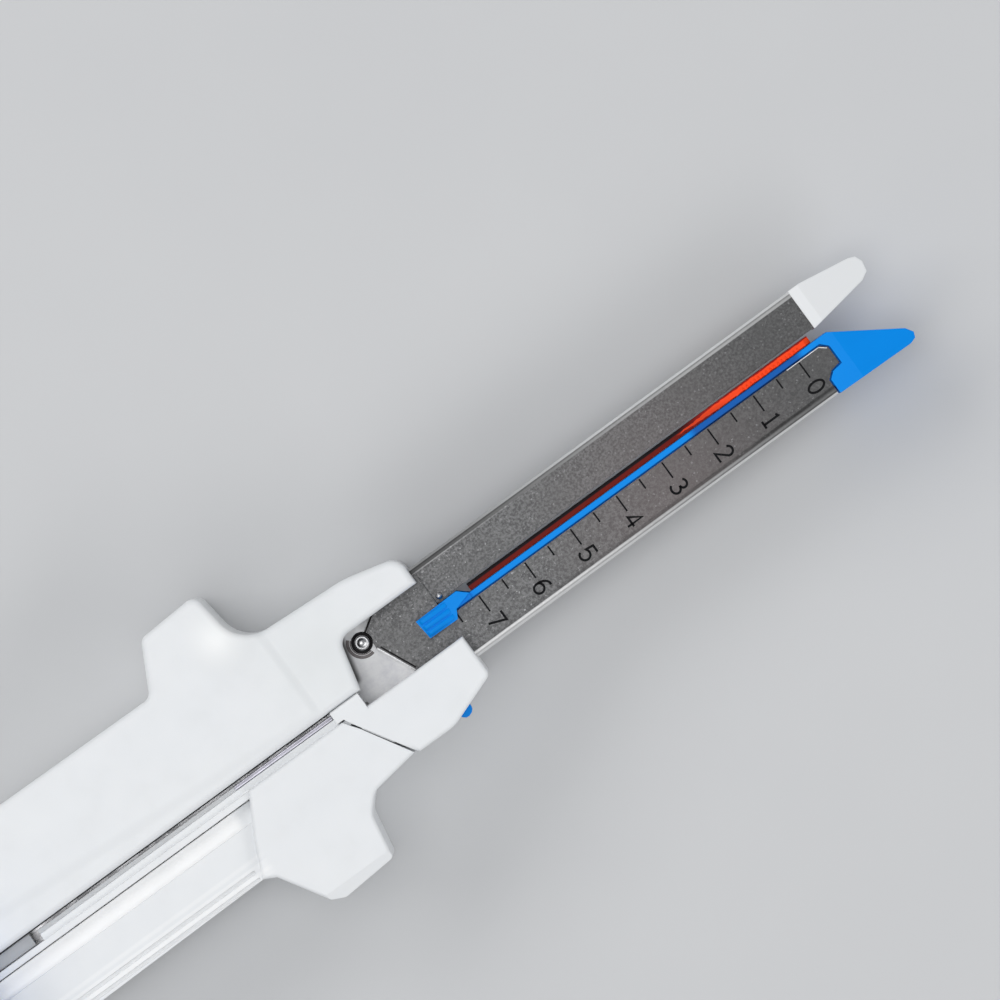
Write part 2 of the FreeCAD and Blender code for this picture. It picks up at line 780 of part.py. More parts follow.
def cartridge_channel():
    """Lower jaw: a folded channel, open upwards, with tall walls that flank the anvil channel."""
    body = new_body("cartridge_channel")
    half = CHANNEL_HALF
    profile = [
        ("steel_reach - 3.3", "-channel_depth"),
        ("steel_reach - 3.3", "-channel_depth + 2.9"),
        ("steel_reach - 1.9", "-channel_depth + 4.1"),
        ("steel_reach", "-channel_depth + 4.4"),
        ("steel_reach", "-channel_lip - 1"),
        ("steel_reach - 1.2", "-channel_lip"),
        ("wall_front", "-channel_lip"),
        ("wall_front", "wall_top"),
        ("pin_radius + notch_gap + 4.4", "wall_top"),
        ("pin_radius + notch_gap - 0.2", "pin_height + 1.4"),
        ("pin_radius + notch_gap - 0.5", "pin_height - 2.4"),
        ("pin_radius + notch_gap + 2.9", "-bib_line - 0.4"),
        ("-channel_rear", "-bib_line - 0.4"),
        ("-channel_rear", "-channel_depth"),
    ]
    add(body, "blank", profile, "-(%s)" % half, half)
    bends = level_edges(body, "y", -number("channel_depth"), lambda e: e.Length > 50)
    dress(body, "bends", bends, "PartDesign::Fillet", "Radius", "bend_radius")
    inside = box_outline("-channel_rear - 1", "steel_reach + 1", "-channel_depth + sheet_gauge",
                         "wall_top + 1")
    cut(body, "inside", inside, "-(%s)" % CHANNEL_BORE, CHANNEL_BORE)
    open_floor = box_outline("-channel_rear - 1", "floor_end", "-channel_depth - 1",
                             "-channel_depth + sheet_gauge + 0.1")
    cut(body, "open_floor", open_floor, "-(%s)" % CHANNEL_BORE, CHANNEL_BORE)
    notch = (("0", "pin_height"), "pin_radius + notch_gap")
    cut(body, "notch", notch, "-(%s) - 1" % half, "%s + 1" % half)
    for index, place in enumerate(FRONT_RIVETS):
        cut(body, "rivet_hole_%d" % index, (place, "rivet_radius"), "-(%s) - 1" % half,
            "%s + 1" % half)


def rear_block():
    """Joins the two rails at the rear and carries the ear of the rear joint."""
    body = new_body("rear_block")
    base = box_outline("-rail_rear", "-tail_front", "-rail_foot", "-tail_line")
    add(body, "base", base, "-rail_inner", "rail_inner")
    ear = box_outline("-rail_rear", "-tail_front", "-tail_line - 0.5", "ear_top")
    add(body, "ear", ear, "-ear_half", "ear_half")
    round_corners(body, "ear_round", [("-rail_rear", "ear_top"), ("-tail_front", "ear_top")], "3")
    bore = (("-rear_pin_back", "rear_pin_height"), "rear_pin_radius + rear_fit")
    cut(body, "bore", bore, "-ear_half - 1", "ear_half + 1")
    tail_pin = (("-rear_pin_back", "-tail_pin_drop"), "tail_pin_radius")
    cut(body, "tail_bore", tail_pin, "-rail_inner - 1", "rail_inner + 1")


def lever_outline():
    """Outline of the wide front of the locking lever."""
    return [
        ("-seam_turn - seam_gap - seam_relief", "-lever_top"),
        ("-seam_top - seam_gap * 1.4 - seam_relief * 0.6", "-rail_foot"),
        ("-seam_top - seam_gap * 1.4 + 0.9", "-rail_foot - 1.5"),
        ("-seam_foot - seam_gap * 1.4", "-seam_low - 0.3"),
        ("-13.4", "-17.3"),
        ("-16.1", "-20.2"),
        ("-17.6", "-lever_wing_low + 0.8"),
        ("-28.4", "-lever_wing_low"),
        ("-30.9", "-lever_wing_low + 1.2"),
        ("-36.2", "-19.4"),
        ("-step_back - 5", "-18.2"),
        (step_wall("step_foot"), "-step_foot"),
        (step_wall("lever_top"), "-lever_top"),
    ]


def step_wall(line):
    """Where the slanted wall between the wide front and the grip stands on a line below the pin."""
    return "-step_back + step_slant * (1 - 2 * (%s - lever_top) / (step_foot - lever_top))" % line


LEVER_SCREWS = [("-23.5", "-23"), ("-rear_screw", "-12")]
LEVER_RIVETS = [("-17", "-11"), ("-29", "-11")]


def lever_cover(label, side):
    """One of the two shells of the locking lever."""
    body = new_body(label)
    outline = lever_outline()
    low, high = span(side, "0", HALF)
    add(body, "block", outline, low, high)
    round_corners(body, "sweep", [outline[5], outline[4]], "3")
    round_corners(body, "wing_tips", [outline[6]], "0.8")
    round_corners(body, "wing_rear", [outline[7], outline[8]], "1.4")
    face = HALF if side > 0 else "-(%s)" % HALF
    seam = number("-seam_turn - 0.1")
    above = number("-rail_foot - 2.6")
    soften_rim(body, "rim", face, "rim_round * 0.6",
               lambda e: e.BoundBox.XMax < seam or e.BoundBox.YMax < above)
    sign = "" if side > 0 else "-"
    bevel = [
        ("-lever_wing_low + 2 * wing_bevel", "%s(%s + bevel_drop)" % (sign, HALF)),
        ("-lever_wing_low - wing_bevel", "%s(%s + bevel_drop)" % (sign, HALF)),
        ("-lever_wing_low - wing_bevel", "%s(%s - 2 * bevel_drop)" % (sign, HALF)),
    ]
    cut(body, "wing_bevel", bevel, "-step_back - 5", "-seam_foot", "YZ_Plane")
    grip = [
        ("-grip_rear", "-lever_line"),
        ("-grip_rear", "-grip_low - 0.8"),
        ("-step_back + 2", "-grip_low + 0.4"),
        ("-step_back + 2", "-lever_line"),
    ]
    low, high = span(side, "0", "grip_half")
    add(body, "grip", grip, low, high)
    round_corners(body, "grip_end", [grip[1]], "7")
    face = "grip_half" if side > 0 else "-grip_half"
    band = [
        ("-grip_rear - 1", "-lever_line + 0.5"),
        ("-grip_rear - 1", "-band_line"),
        (step_wall("band_line"), "-band_line"),
        (step_wall("lever_line"), "-lever_line"),
        (step_wall("lever_line"), "-lever_line + 0.5"),
    ]
    low, high = span(side, "grip_half - band_deep", "grip_half + 1")
    cut(body, "band", band, low, high)
    low, high = span(side, "grip_half - ridge_deep", "grip_half + 1")
    for index in range(2):
        line = "-ridge_line - %d * ridge_pitch" % index
        groove = box_outline("-grip_rear - 1", "-step_back - 5.4", line + " - ridge_wide / 2",
                             line + " + ridge_wide / 2")
        cut(body, "ridge_%d" % index, groove, low, high)
    wall = "cover_wall"
    front_hollow = [
        ("-seam_top - 2.2", "-lever_line + 1"),
        ("-seam_foot - 3.4", "-seam_low + 0.9"),
        ("-14.8", "-16.4"),
        ("-17.9", "-20.2"),
        ("-19.3", "-lever_wing_low + 2.4"),
        ("-28.2", "-lever_wing_low + 1.8"),
        ("-34.2", "-18.6"),
        (step_wall("step_foot") + " + 1.9", "-step_foot"),
        (step_wall("lever_top") + " + 0.9", "-lever_line + 1"),
    ]
    low, high = span(side, "0", COVER_BORE)
    cut(body, "front_hollow", front_hollow, low, high)
    rail_room = box_outline("-step_back - 1", "-seam_top + 1", "-lever_line", "-lever_top + 1")
    low, high = span(side, "0", "rail_outer + slip_gap")
    cut(body, "rail_room", rail_room, low, high)
    grip_hollow = [
        ("-grip_rear + %s" % wall, "-lever_line + 1"),
        ("-grip_rear + %s" % wall, "-grip_low + 4"),
        ("-grip_rear + 4.5", "-grip_low + 1"),
        ("-step_back + 3", "-grip_low + 2"),
        ("-step_back + 3", "-lever_line + 1"),
    ]
    low, high = span(side, "0", "grip_half - band_deep - %s" % wall)
    cut(body, "grip_hollow", grip_hollow, low, high)
    low, high = span(side, "0", "window_half")
    window = box_outline("-seam_top - 6", "0", "-seam_low + 2", "0")
    cut(body, "latch_window", window, low, high)
    for index, place in enumerate(LEVER_RIVETS):
        low, high = span(side, "latch_outer", COVER_BORE + " + 0.1")
        add(body, "rivet_boss_%d" % index, (place, "rivet_radius + 1.2"), low, high)
        low, high = span(side, "latch_outer - 0.5", COVER_BORE)
        cut(body, "rivet_bore_%d" % index, (place, "rivet_radius"), low, high)
    bores = (COVER_BORE, "grip_half - band_deep - %s" % wall)
    outsides = (HALF, "grip_half")
    for index, place in enumerate(LEVER_SCREWS):
        low, high = span(side, "0", bores[index] + " + 0.1")
        add(body, "screw_boss_%d" % index, (place, "screw_head + 0.4"), low, high)
        depth = "handle_width / 2 + 1" if side < 0 else outsides[index] + " - head_depth - 1"
        low, high = span(side, "-0.5", depth)
        cut(body, "screw_bore_%d" % index, (place, "screw_radius"), low, high)
        if side < 0:
            low, high = span(side, outsides[index] + " - head_depth", HALF + " + 1")
            cut(body, "screw_sink_%d" % index, (place, "screw_head"), low, high)


def latch_shape(low, high):
    """One latch plate: tail in the lever, boss at the pivot, hook behind and over the pin."""
    gap = "pin_radius + move_gap"
    outline = [
        ("-latch_tail", "-9"),
        ("-latch_tail", "-12.6"),
        ("1", "-13.4"),
        ("pivot_front + 1.5", "-13.4"),
        ("pivot_front + 3.2", "-12.2"),
        ("pivot_front + 3.2", "-9.5"),
        ("2.6", "-6"),
        ("1.6", "pin_height - %s - 0.4" % gap),
        ("-0.35", "pin_height - %s - 0.4" % gap),
        ("-0.35", "pin_height + %s + 1.4" % gap),
        ("-3.4", "pin_height + %s + 1.4" % gap),
        ("-4.4", "pin_height"),
        ("-3.6", "-7.4"),
        ("-6.5", "-9"),
    ]
    corners = [FreeCAD.Vector(number(x), number(y), number(low)) for x, y in outline]
    face = Part.Face(Part.makePolygon(corners + corners[:1]))
    plate = face.extrude(FreeCAD.Vector(0, 0, number(high) - number(low)))
    throat = rod("0", "pin_height", gap, "%s - 1" % low, "%s + 1" % high)
    pivot = rod("pivot_front", "-pivot_drop", "pivot_radius + pivot_fit", "%s - 1" % low, "%s + 1" % high)
    plate = plate.cut(throat).cut(pivot)
    for x, y in LEVER_RIVETS:
        plate = plate.cut(rod(x, y, "rivet_radius", "%s - 1" % low, "%s + 1" % high))
    return plate


def cartridge_body():
    """Blue cartridge: deck, staple windows, grooves beneath, nose in front and a lug each side."""
    body = new_body("cartridge_body")
    inner = "%s - move_gap" % CHANNEL_BORE
    foot = "-channel_depth + sheet_gauge + move_gap + pan_thick"
    core = box_outline("cartridge_rear", "steel_reach - 3", foot, "deck_top")
    add(body, "core", core, "-(%s)" % inner, inner)
    lip = box_outline("wall_front + move_gap", "steel_reach - 1", "-channel_lip + move_gap", "deck_top")
    add(body, "deck_lip", lip, "-(%s)" % CHANNEL_HALF, CHANNEL_HALF)
    nose = [
        ("steel_reach - 3", "-channel_depth - 0.1"),
        ("tip_reach - 1.6", "-channel_depth - 0.4"),
        ("tip_reach - 0.4", "-channel_depth"),
        ("tip_reach", "-channel_depth + 1"),
        ("tip_reach - 0.9", "-channel_depth + 2.4"),
        ("steel_reach + 1.2", "deck_top"),
        ("steel_reach - 2", "deck_top"),
        ("steel_reach - 2", "-channel_lip + move_gap"),
        ("steel_reach - 1", "-channel_lip + move_gap"),
        ("steel_reach + move_gap", "-channel_lip - 1"),
        ("steel_reach + move_gap", "-channel_depth + 4.1"),
        ("steel_reach - 1.8", "-channel_depth + 3.8"),
        ("steel_reach - 3", "-channel_depth + 2.8"),
    ]
    add(body, "nose", nose, "-(%s)" % CHANNEL_HALF, CHANNEL_HALF)
    taper_sides(body, "taper", "steel_reach + 2", "tip_reach", CHANNEL_HALF, "tip_end_half",
                "-channel_depth - 2", "deck_top + 1")
    tongue = box_outline("steel_reach - 3.2", "steel_reach + 0.6", foot, "deck_top")
    add(body, "tongue", tongue, "-(%s)" % inner, inner)
    slot = box_outline("cartridge_rear - 1", "slot_front", "%s - 1" % foot, "deck_top + 1")
    cut(body, "knife_slot", slot, "-(%s)" % SLOT_HALF, SLOT_HALF)
    groove = box_outline("cartridge_rear - 1", "slot_front", "%s - 1" % foot, "-groove_top")
    for side, word in ((1, "near"), (-1, "far")):
        low, high = span(side, "groove_inner", "groove_outer")
        cut(body, "groove_%s" % word, groove, low, high)
    windows = cut_up(body, "windows", {"outlines": staple_windows()}, "-groove_top - 0.5",
                     "deck_top + 1")
    repeat(body, "window_rows", windows, "staple_pitch", "staple_count")
    lug = [
        ("9.9", "2.5"),
        ("10.3", "-1.4"),
        ("16.2", "-1.5"),
        ("17.1", "-channel_lip + move_gap"),
        ("20.6", "deck_top"),
        ("18.8", "2.7"),
    ]
    bridge = [
        ("wall_front + move_gap", "-channel_lip + move_gap"),
        ("20.4", "-channel_lip + move_gap"),
        ("20.6", "deck_top"),
        ("18.8", "2.7"),
        ("wall_front + move_gap", "2.6"),
    ]
    for side, word in ((1, "near"), (-1, "far")):
        low, high = span(side, "%s + move_gap" % CHANNEL_HALF,
                         "%s + move_gap + lug_thick" % CHANNEL_HALF)
        add(body, "lug_%s" % word, lug, low, high)
        low, high = span(side, "%s - 1" % CHANNEL_HALF, "%s + move_gap + 0.5" % CHANNEL_HALF)
        add(body, "lug_bridge_%s" % word, bridge, low, high)


def staple(x, row):
    """One open staple: a crown with two legs that point at the anvil."""
    wire = number("staple_wire")
    half = number("staple_long") / 2
    low = -number("groove_top")
    crown = Part.makeBox(2 * half, wire, wire, FreeCAD.Vector(x - half, low, row - wire / 2))
    leg = number("staple_leg")
    left = Part.makeBox(wire, leg, wire, FreeCAD.Vector(x - half, low, row - wire / 2))
    right = Part.makeBox(wire, leg, wire, FreeCAD.Vector(x + half - wire, low, row - wire / 2))
    return crown.fuse([left, right]).removeSplitter()


def staple_places():
    """Middles of all the staples, row by row."""
    first = number("staple_first + pocket_long / 2")
    pitch = number("staple_pitch")
    for side in (1, -1):
        for row, lag in (("row_inner", 0), ("row_outer", pitch / 2)):
            for index in range(int(number("staple_count"))):
                yield first + lag + index * pitch, side * number(row)


def staples():
    """All the staples, in four rows."""
    group("staples", [staple(x, row) for x, row in staple_places()])


def staple_drivers():
    """Drivers under the staples, one for each staple of the inner rows."""
    drivers = []
    top = number("-groove_top")
    tall = number("driver_tall")
    inner = number("groove_inner + 0.15")
    wide = number("groove_outer - groove_inner - 0.3")
    long = number("driver_long")
    for x, row in staple_places():
        if abs(abs(row) - number("row_inner")) > 1e-6:
            continue
        low = inner if row > 0 else -inner - wide
        drivers.append(Part.makeBox(long, tall, wide, FreeCAD.Vector(x - long / 2, top - tall, low)))
    group("staple_drivers", drivers)


def cartridge_pan():
    """Thin steel pan under the cartridge, slotted for the knife."""
    body = new_body("cartridge_pan")
    inner = "%s - move_gap" % CHANNEL_BORE
    low = "-channel_depth + sheet_gauge + move_gap"
    pan = box_outline("cartridge_rear + 1", "steel_reach - 4", low, "%s + pan_thick" % low)
    add(body, "pan", pan, "-(%s)" % inner, inner)


def retainer():
    """Red staple retainer on the deck, with wings at its front."""
    body = new_body("retainer")
    low, high = "deck_top + 0.1", "anvil_face - tip_drop - retainer_gap"
    strip = box_outline("retainer_rear", "retainer_front", low, high)
    add(body, "strip", strip, "-retainer_half", "retainer_half")
    plan = [
        ("wing_start", "-retainer_half + 0.5"),
        ("wing_full", "-wing_half"),
        ("retainer_front - 1", "-wing_half"),
        ("retainer_front", "-wing_half + 1"),
        ("retainer_front", "wing_half - 1"),
        ("retainer_front - 1", "wing_half"),
        ("wing_full", "wing_half"),
        ("wing_start", "retainer_half - 0.5"),
    ]
    sketch = new_sketch(body, "wings_sketch", "XZ_Plane", "-(%s)" % low)
    draw_outline(sketch, plan)
    wings = body.newObject("PartDesign::Pad", "wings")
    wings.Profile = sketch
    wings.Reversed = True
    wings.setExpression("Length", bound("(%s) - (%s)" % (high, low)))
    doc.recompute()
    slot = box_outline("retainer_rear - 1", "slot_front", "%s - 1" % low, "%s + 1" % high)
    cut(body, "knife_slot", slot, "-(%s)" % SLOT_HALF, SLOT_HALF)


def slide_carriage():
    """Carriage of the firing slide: a bridge, a core that holds the bars and two arms."""
    body = new_body("slide_carriage")
    bridge = box_outline("-bridge_rear", "-bridge_front", "-carriage_low", "-bar_top")
    add(body, "bridge", bridge, "-arm_outer", "arm_outer")
    core = box_outline("-bridge_rear", "-bridge_front", "-bar_low", "-carriage_low + 0.5")
    add(body, "core", core, "-core_half", "core_half")
    arm = box_outline("-bridge_front - 1", "-arm_front", "-carriage_low", "-bar_top")
    for side, word in ((1, "near"), (-1, "far")):
        low, high = span(side, "arm_inner", "arm_outer")
        add(body, "arm_%s" % word, arm, low, high)
    neck = box_outline("-bridge_rear", "-bridge_front", "-neck_low", "-neck_top")
    add(body, "neck", neck, "arm_outer - 0.5", "%s + knob_gap" % HALF)


def knife_bar():
    """Steel bar with the knife at its front."""
    body = new_body("knife_bar")
    outline = [
        ("-bridge_front", "-bar_low"),
        ("cartridge_rear - 0.5", "-bar_low"),
        ("cartridge_rear + 0.6", "-bar_low + 1.4"),
        ("cartridge_rear - 1.4", "blade_top"),
        ("cartridge_rear - 4", "blade_top"),
        ("cartridge_rear - 5", "-bar_top - 0.2"),
        ("cartridge_rear - 6", "-bar_top"),
        ("-bridge_front", "-bar_top"),
    ]
    add(body, "bar", outline, "-(%s)" % KNIFE_HALF, KNIFE_HALF)


def wedge_bars():
    """Two sledge bars with sloping fronts that raise the staple drivers."""
    bars = []
    for side in (1, -1):
        outline = [
            ("-bridge_front", "-bar_low"),
            ("cartridge_rear + 1", "-bar_low"),
            ("cartridge_rear - 5", "-wedge_top"),
            ("-bridge_front", "-wedge_top"),
        ]
        low = number("wedge_inner") if side > 0 else -number("wedge_outer")
        corners = [FreeCAD.Vector(number(x), number(y), low) for x, y in outline]
        face = Part.Face(Part.makePolygon(corners + corners[:1]))
        bars.append(face.extrude(FreeCAD.Vector(0, 0, number("wedge_outer - wedge_inner"))))
    group("wedge_bars", bars)


def firing_knob():
    """Thumb knob on the near side, with finger grooves."""
    body = new_body("firing_knob")
    middle = "(bridge_rear + bridge_front) / 2"
    left, right = "-%s - knob_long / 2" % middle, "-%s + knob_long / 2" % middle
    low, high = "%s + knob_gap" % HALF, "%s + knob_gap + knob_tall" % HALF
    outline = box_outline(left, right, "-knob_low", "knob_high")
    add(body, "block", outline, low, high)
    round_corners(body, "corners", outline, "4")
    soften_rim(body, "rim", high, "1.5")
    for index in range(4):
        start = "%s + 3.4 + %g" % (left, index * 3.6)
        groove = box_outline(start, start + " + 1.6", "-knob_low - 1", "knob_high + 1")
        cut(body, "groove_%d" % index, groove, "%s - 0.9" % high, "%s + 1" % high)


def release_button():
    """Blue button in the front cover's lower edge, drawn pointing down and then turned."""
    body = doc.addObject("PartDesign::Body", "release_button")
    body.Label = "release_button"
    PARTS.append(body)
    half = "button_half"
    outline = [
        ("-%s" % half, "0"),
        ("-%s" % half, "-button_proud + 0.9"),
        ("-%s * 0.7" % half, "-button_proud + 0.25"),
        ("-%s * 0.3" % half, "-button_proud"),
        ("%s * 0.3" % half, "-button_proud"),
        ("%s * 0.7" % half, "-button_proud + 0.25"),
        (half, "-button_proud + 0.9"),
        (half, "0"),
        (half, "cover_wall + 0.2"),
        ("-%s" % half, "cover_wall + 0.2"),
    ]
    add(body, "cap", outline, "-button_long / 2", "button_long / 2")
    flange = box_outline("-%s - 0.6" % half, "%s + 0.6" % half, "cover_wall + 0.1", "cover_wall + 0.8")
    add(body, "flange", flange, "-button_long / 2", "button_long / 2")
    place, outward = button_axes()
    turn = FreeCAD.Rotation(FreeCAD.Vector(0, 0, 1), number("button_tilt"))
    body.Placement = FreeCAD.Placement(shift_vector() + place, turn)


def button_spring():
    """Small coil between the button's flange and the channel's floor."""
    place, outward = button_axes()
    start = number("cover_wall + 0.9")
    length = number("spring_room")
    radius = number("spring_radius")
    wire = number("spring_wire")
    turns = number("spring_turns")
    helix = Part.makeHelix((length - wire * 2) / turns, length - wire * 2, radius)
    ring = Part.Wire([Part.makeCircle(wire, FreeCAD.Vector(radius, 0, 0), FreeCAD.Vector(0, 1, 0))])
    coil = Part.Wire(helix).makePipeShell([ring], True, True)
    spring = doc.addObject("Part::Feature", "button_spring")
    spring.Label = "button_spring"
    spring.Shape = coil
    base = shift_vector() + place - outward * (start + wire)
    spring.Placement = FreeCAD.Placement(base, FreeCAD.Rotation(FreeCAD.Vector(0, 0, 1), -outward))
    PARTS.append(spring)


def check_and_write():
    """Checks every object, then writes each piece to its own file."""
    doc.recompute()
    for item in doc.Objects:
        if "Invalid" in item.State or "Error" in item.State:
            raise RuntimeError("%s is in state %s" % (item.Label, item.State))
    os.makedirs("parts", exist_ok=True)
    for piece in PARTS:
        shape = piece.Shape
        if shape.isNull() or not shape.isValid():
            raise RuntimeError("%s has a bad shape" % piece.Label)
    for piece in PARTS:
        piece.Shape.exportStep("parts/%s.step" % piece.Label)


def build():
    """Makes every piece, half by half."""
    anvil_channel()
    anvil_plate()
    anvil_tip()
    upper_cover("upper_cover_near", 1)
    upper_cover("upper_cover_far", -1)
    latch_pin()
    pin("rear_pin", ("-rear_pin_back", "rear_pin_height"), "rear_pin_radius",
        "-(%s)" % COVER_BORE, COVER_BORE)
    group("upper_cover_screws", [screw(place) for place in UPPER_SCREWS])
    group("anvil_rivets", [rod(x, y, "rivet_radius", "-(%s)" % COVER_BORE, COVER_BORE)
                           for x, y in UPPER_RIVETS])
    cartridge_channel()
    front_cover("front_cover_near", 1)
    front_cover("front_cover_far", -1)
    rear_block()
    pin("tail_pin", ("-rear_pin_back", "-tail_pin_drop"), "tail_pin_radius", "-arm_outer", "arm_outer")
    group("lever_pivot_pins", [pivot_pin(side) for side in (1, -1)])
    group("front_cover_screws", [screw(place) for place in FRONT_SCREWS])
    group("channel_rivets", [rod(x, y, "rivet_radius", "-(%s)" % COVER_BORE, "-(%s)" % CHANNEL_BORE)
                             for x, y in FRONT_RIVETS]
          + [rod(x, y, "rivet_radius", CHANNEL_BORE, COVER_BORE) for x, y in FRONT_RIVETS])
    lever_cover("lever_cover_near", 1)
    lever_cover("lever_cover_far", -1)
    group("latch_plates", [latch_shape("latch_inner", "latch_outer"),
                           latch_shape("-latch_outer", "-latch_inner")])
    group("lever_rivets", [rod(x, y, "rivet_radius", "-(%s)" % COVER_BORE, COVER_BORE)
                           for x, y in LEVER_RIVETS])
    group("lever_screws", [screw(LEVER_SCREWS[0]),
                           screw(LEVER_SCREWS[1], "grip_half", "grip_half - 2.6")])
    cartridge_body()
    staples()
    staple_drivers()
    cartridge_pan()
    retainer()
    slide_carriage()
    knife_bar()
    wedge_bars()
    firing_knob()
    release_button()
    button_spring()
    check_and_write()


build()
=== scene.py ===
import json
import math
import bmesh
import bpy
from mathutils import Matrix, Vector


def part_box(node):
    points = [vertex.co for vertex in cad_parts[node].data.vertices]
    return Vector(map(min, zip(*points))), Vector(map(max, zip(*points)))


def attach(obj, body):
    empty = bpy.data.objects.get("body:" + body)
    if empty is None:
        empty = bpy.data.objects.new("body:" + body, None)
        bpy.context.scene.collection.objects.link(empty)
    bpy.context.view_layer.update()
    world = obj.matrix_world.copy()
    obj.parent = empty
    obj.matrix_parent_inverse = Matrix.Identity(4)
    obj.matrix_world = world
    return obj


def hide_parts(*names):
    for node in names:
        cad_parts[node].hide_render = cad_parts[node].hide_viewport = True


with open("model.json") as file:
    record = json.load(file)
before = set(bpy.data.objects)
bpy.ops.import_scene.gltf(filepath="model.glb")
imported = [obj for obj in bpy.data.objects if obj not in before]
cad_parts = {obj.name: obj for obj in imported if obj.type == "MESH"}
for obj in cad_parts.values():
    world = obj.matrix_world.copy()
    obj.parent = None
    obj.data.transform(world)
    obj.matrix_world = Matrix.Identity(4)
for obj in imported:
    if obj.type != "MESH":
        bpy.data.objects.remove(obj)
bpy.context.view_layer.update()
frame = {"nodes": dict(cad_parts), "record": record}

# Looks of the linear stapler. Lengths are millimetres until they reach Blender, which takes metres.
# Places are given about the latch pin: x = 0 at its axis, y = 0 at the edge of the lower jaw,
# z = 0 in the middle of the width, as the part's own pieces are drawn.
MM = 0.001
PIN_HEIGHT = 5.1
PIN_RADIUS = 1.3
PIN_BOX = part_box("latch_pin")
PIN_CENTRE = (PIN_BOX[0] + PIN_BOX[1]) / 2
ORIGIN = PIN_CENTRE - Vector((0, PIN_HEIGHT * MM, 0))
JAW_FACE = (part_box("cartridge_channel")[1].z - ORIGIN.z) / MM

# Relief of the upper covers: the swell below the wing, also the place of a painted highlight, the place of a
# painted shade beside the wing, and the crease above the firing slot
SWELL_PLACE = (-20.0, 20.5)
SWELL_REACH = 8.0
SWELL_TALL = 1.0
WING_SHADE_PLACE = (-8.0, 9.0)
WING_SHADE_REACH = 16.0
CREASE_END = (-12.5, 0.85)
CREASE_SLOPE = 0.068
CREASE_WIDE = 2.6
CREASE_DEEP = 0.22

# The retainer's wings, where the painted highlight along them begins and where it reaches its full height,
# and the painted shade that they throw on the deck's edge
WING_START = 66.2
WING_FULL = 77.0
WING_MIDDLE = 1.83
SHADE_START = 70.0
SHADE_END = 91.5

# The anvil's ear: the end of its smooth part, which is painted lighter as a painted reflection, and the
# painted shade along the throat of the covers
EAR_SMOOTH_LIT = 8.5
THROAT_TOP = (-2.6, 8.0)
THROAT_FOOT = (-4.9, -1.4)
THROAT_SHADE = 1.05

# Brightness of the blasted steel: its dark and light grain, its soft clouds and a warm tint
STEEL_DARK = 0.088
STEEL_LIGHT = 0.192
STEEL_CLOUD = 0.128
TINT_PLACE = (62.0, -9.0)
TINT_REACH = 34.0

# Painted highlights on bands of the locking lever's grip: the ledge by the rail, two crests by the lower
# edge, and the field that holds the ridges, which is painted lighter
LEDGE = (-8.95, -5.6)
GRIP_REACH = (-80.0, -34.0)
GRIP_FRONT = -37.0
CRESTS = (-14.5, -17.15)
RIDGES = (-18.3, -15.5)

# The photograph's frame: its middle, its width at the jaw's face, and how far the jaws rise in it
VIEW_MIDDLE = (34.6, 11.1)
VIEW_WIDTH = 176.7
VIEW_TURN = 36.13
CAMERA_DISTANCE = 1300.0
SENSOR = 36.0


def at(x, y, z=0.0):
    """A place about the latch pin, as a point of the frame in metres."""
    return ORIGIN + Vector((x, y, z)) * MM


def srgb(red, green, blue):
    """A screen colour of 0 to 255 as a linear colour for a shader."""
    linear = []
    for value in (red, green, blue):
        share = value / 255
        linear.append(share / 12.92 if share <= 0.04045 else ((share + 0.055) / 1.055) ** 2.4)
    return (*linear, 1.0)


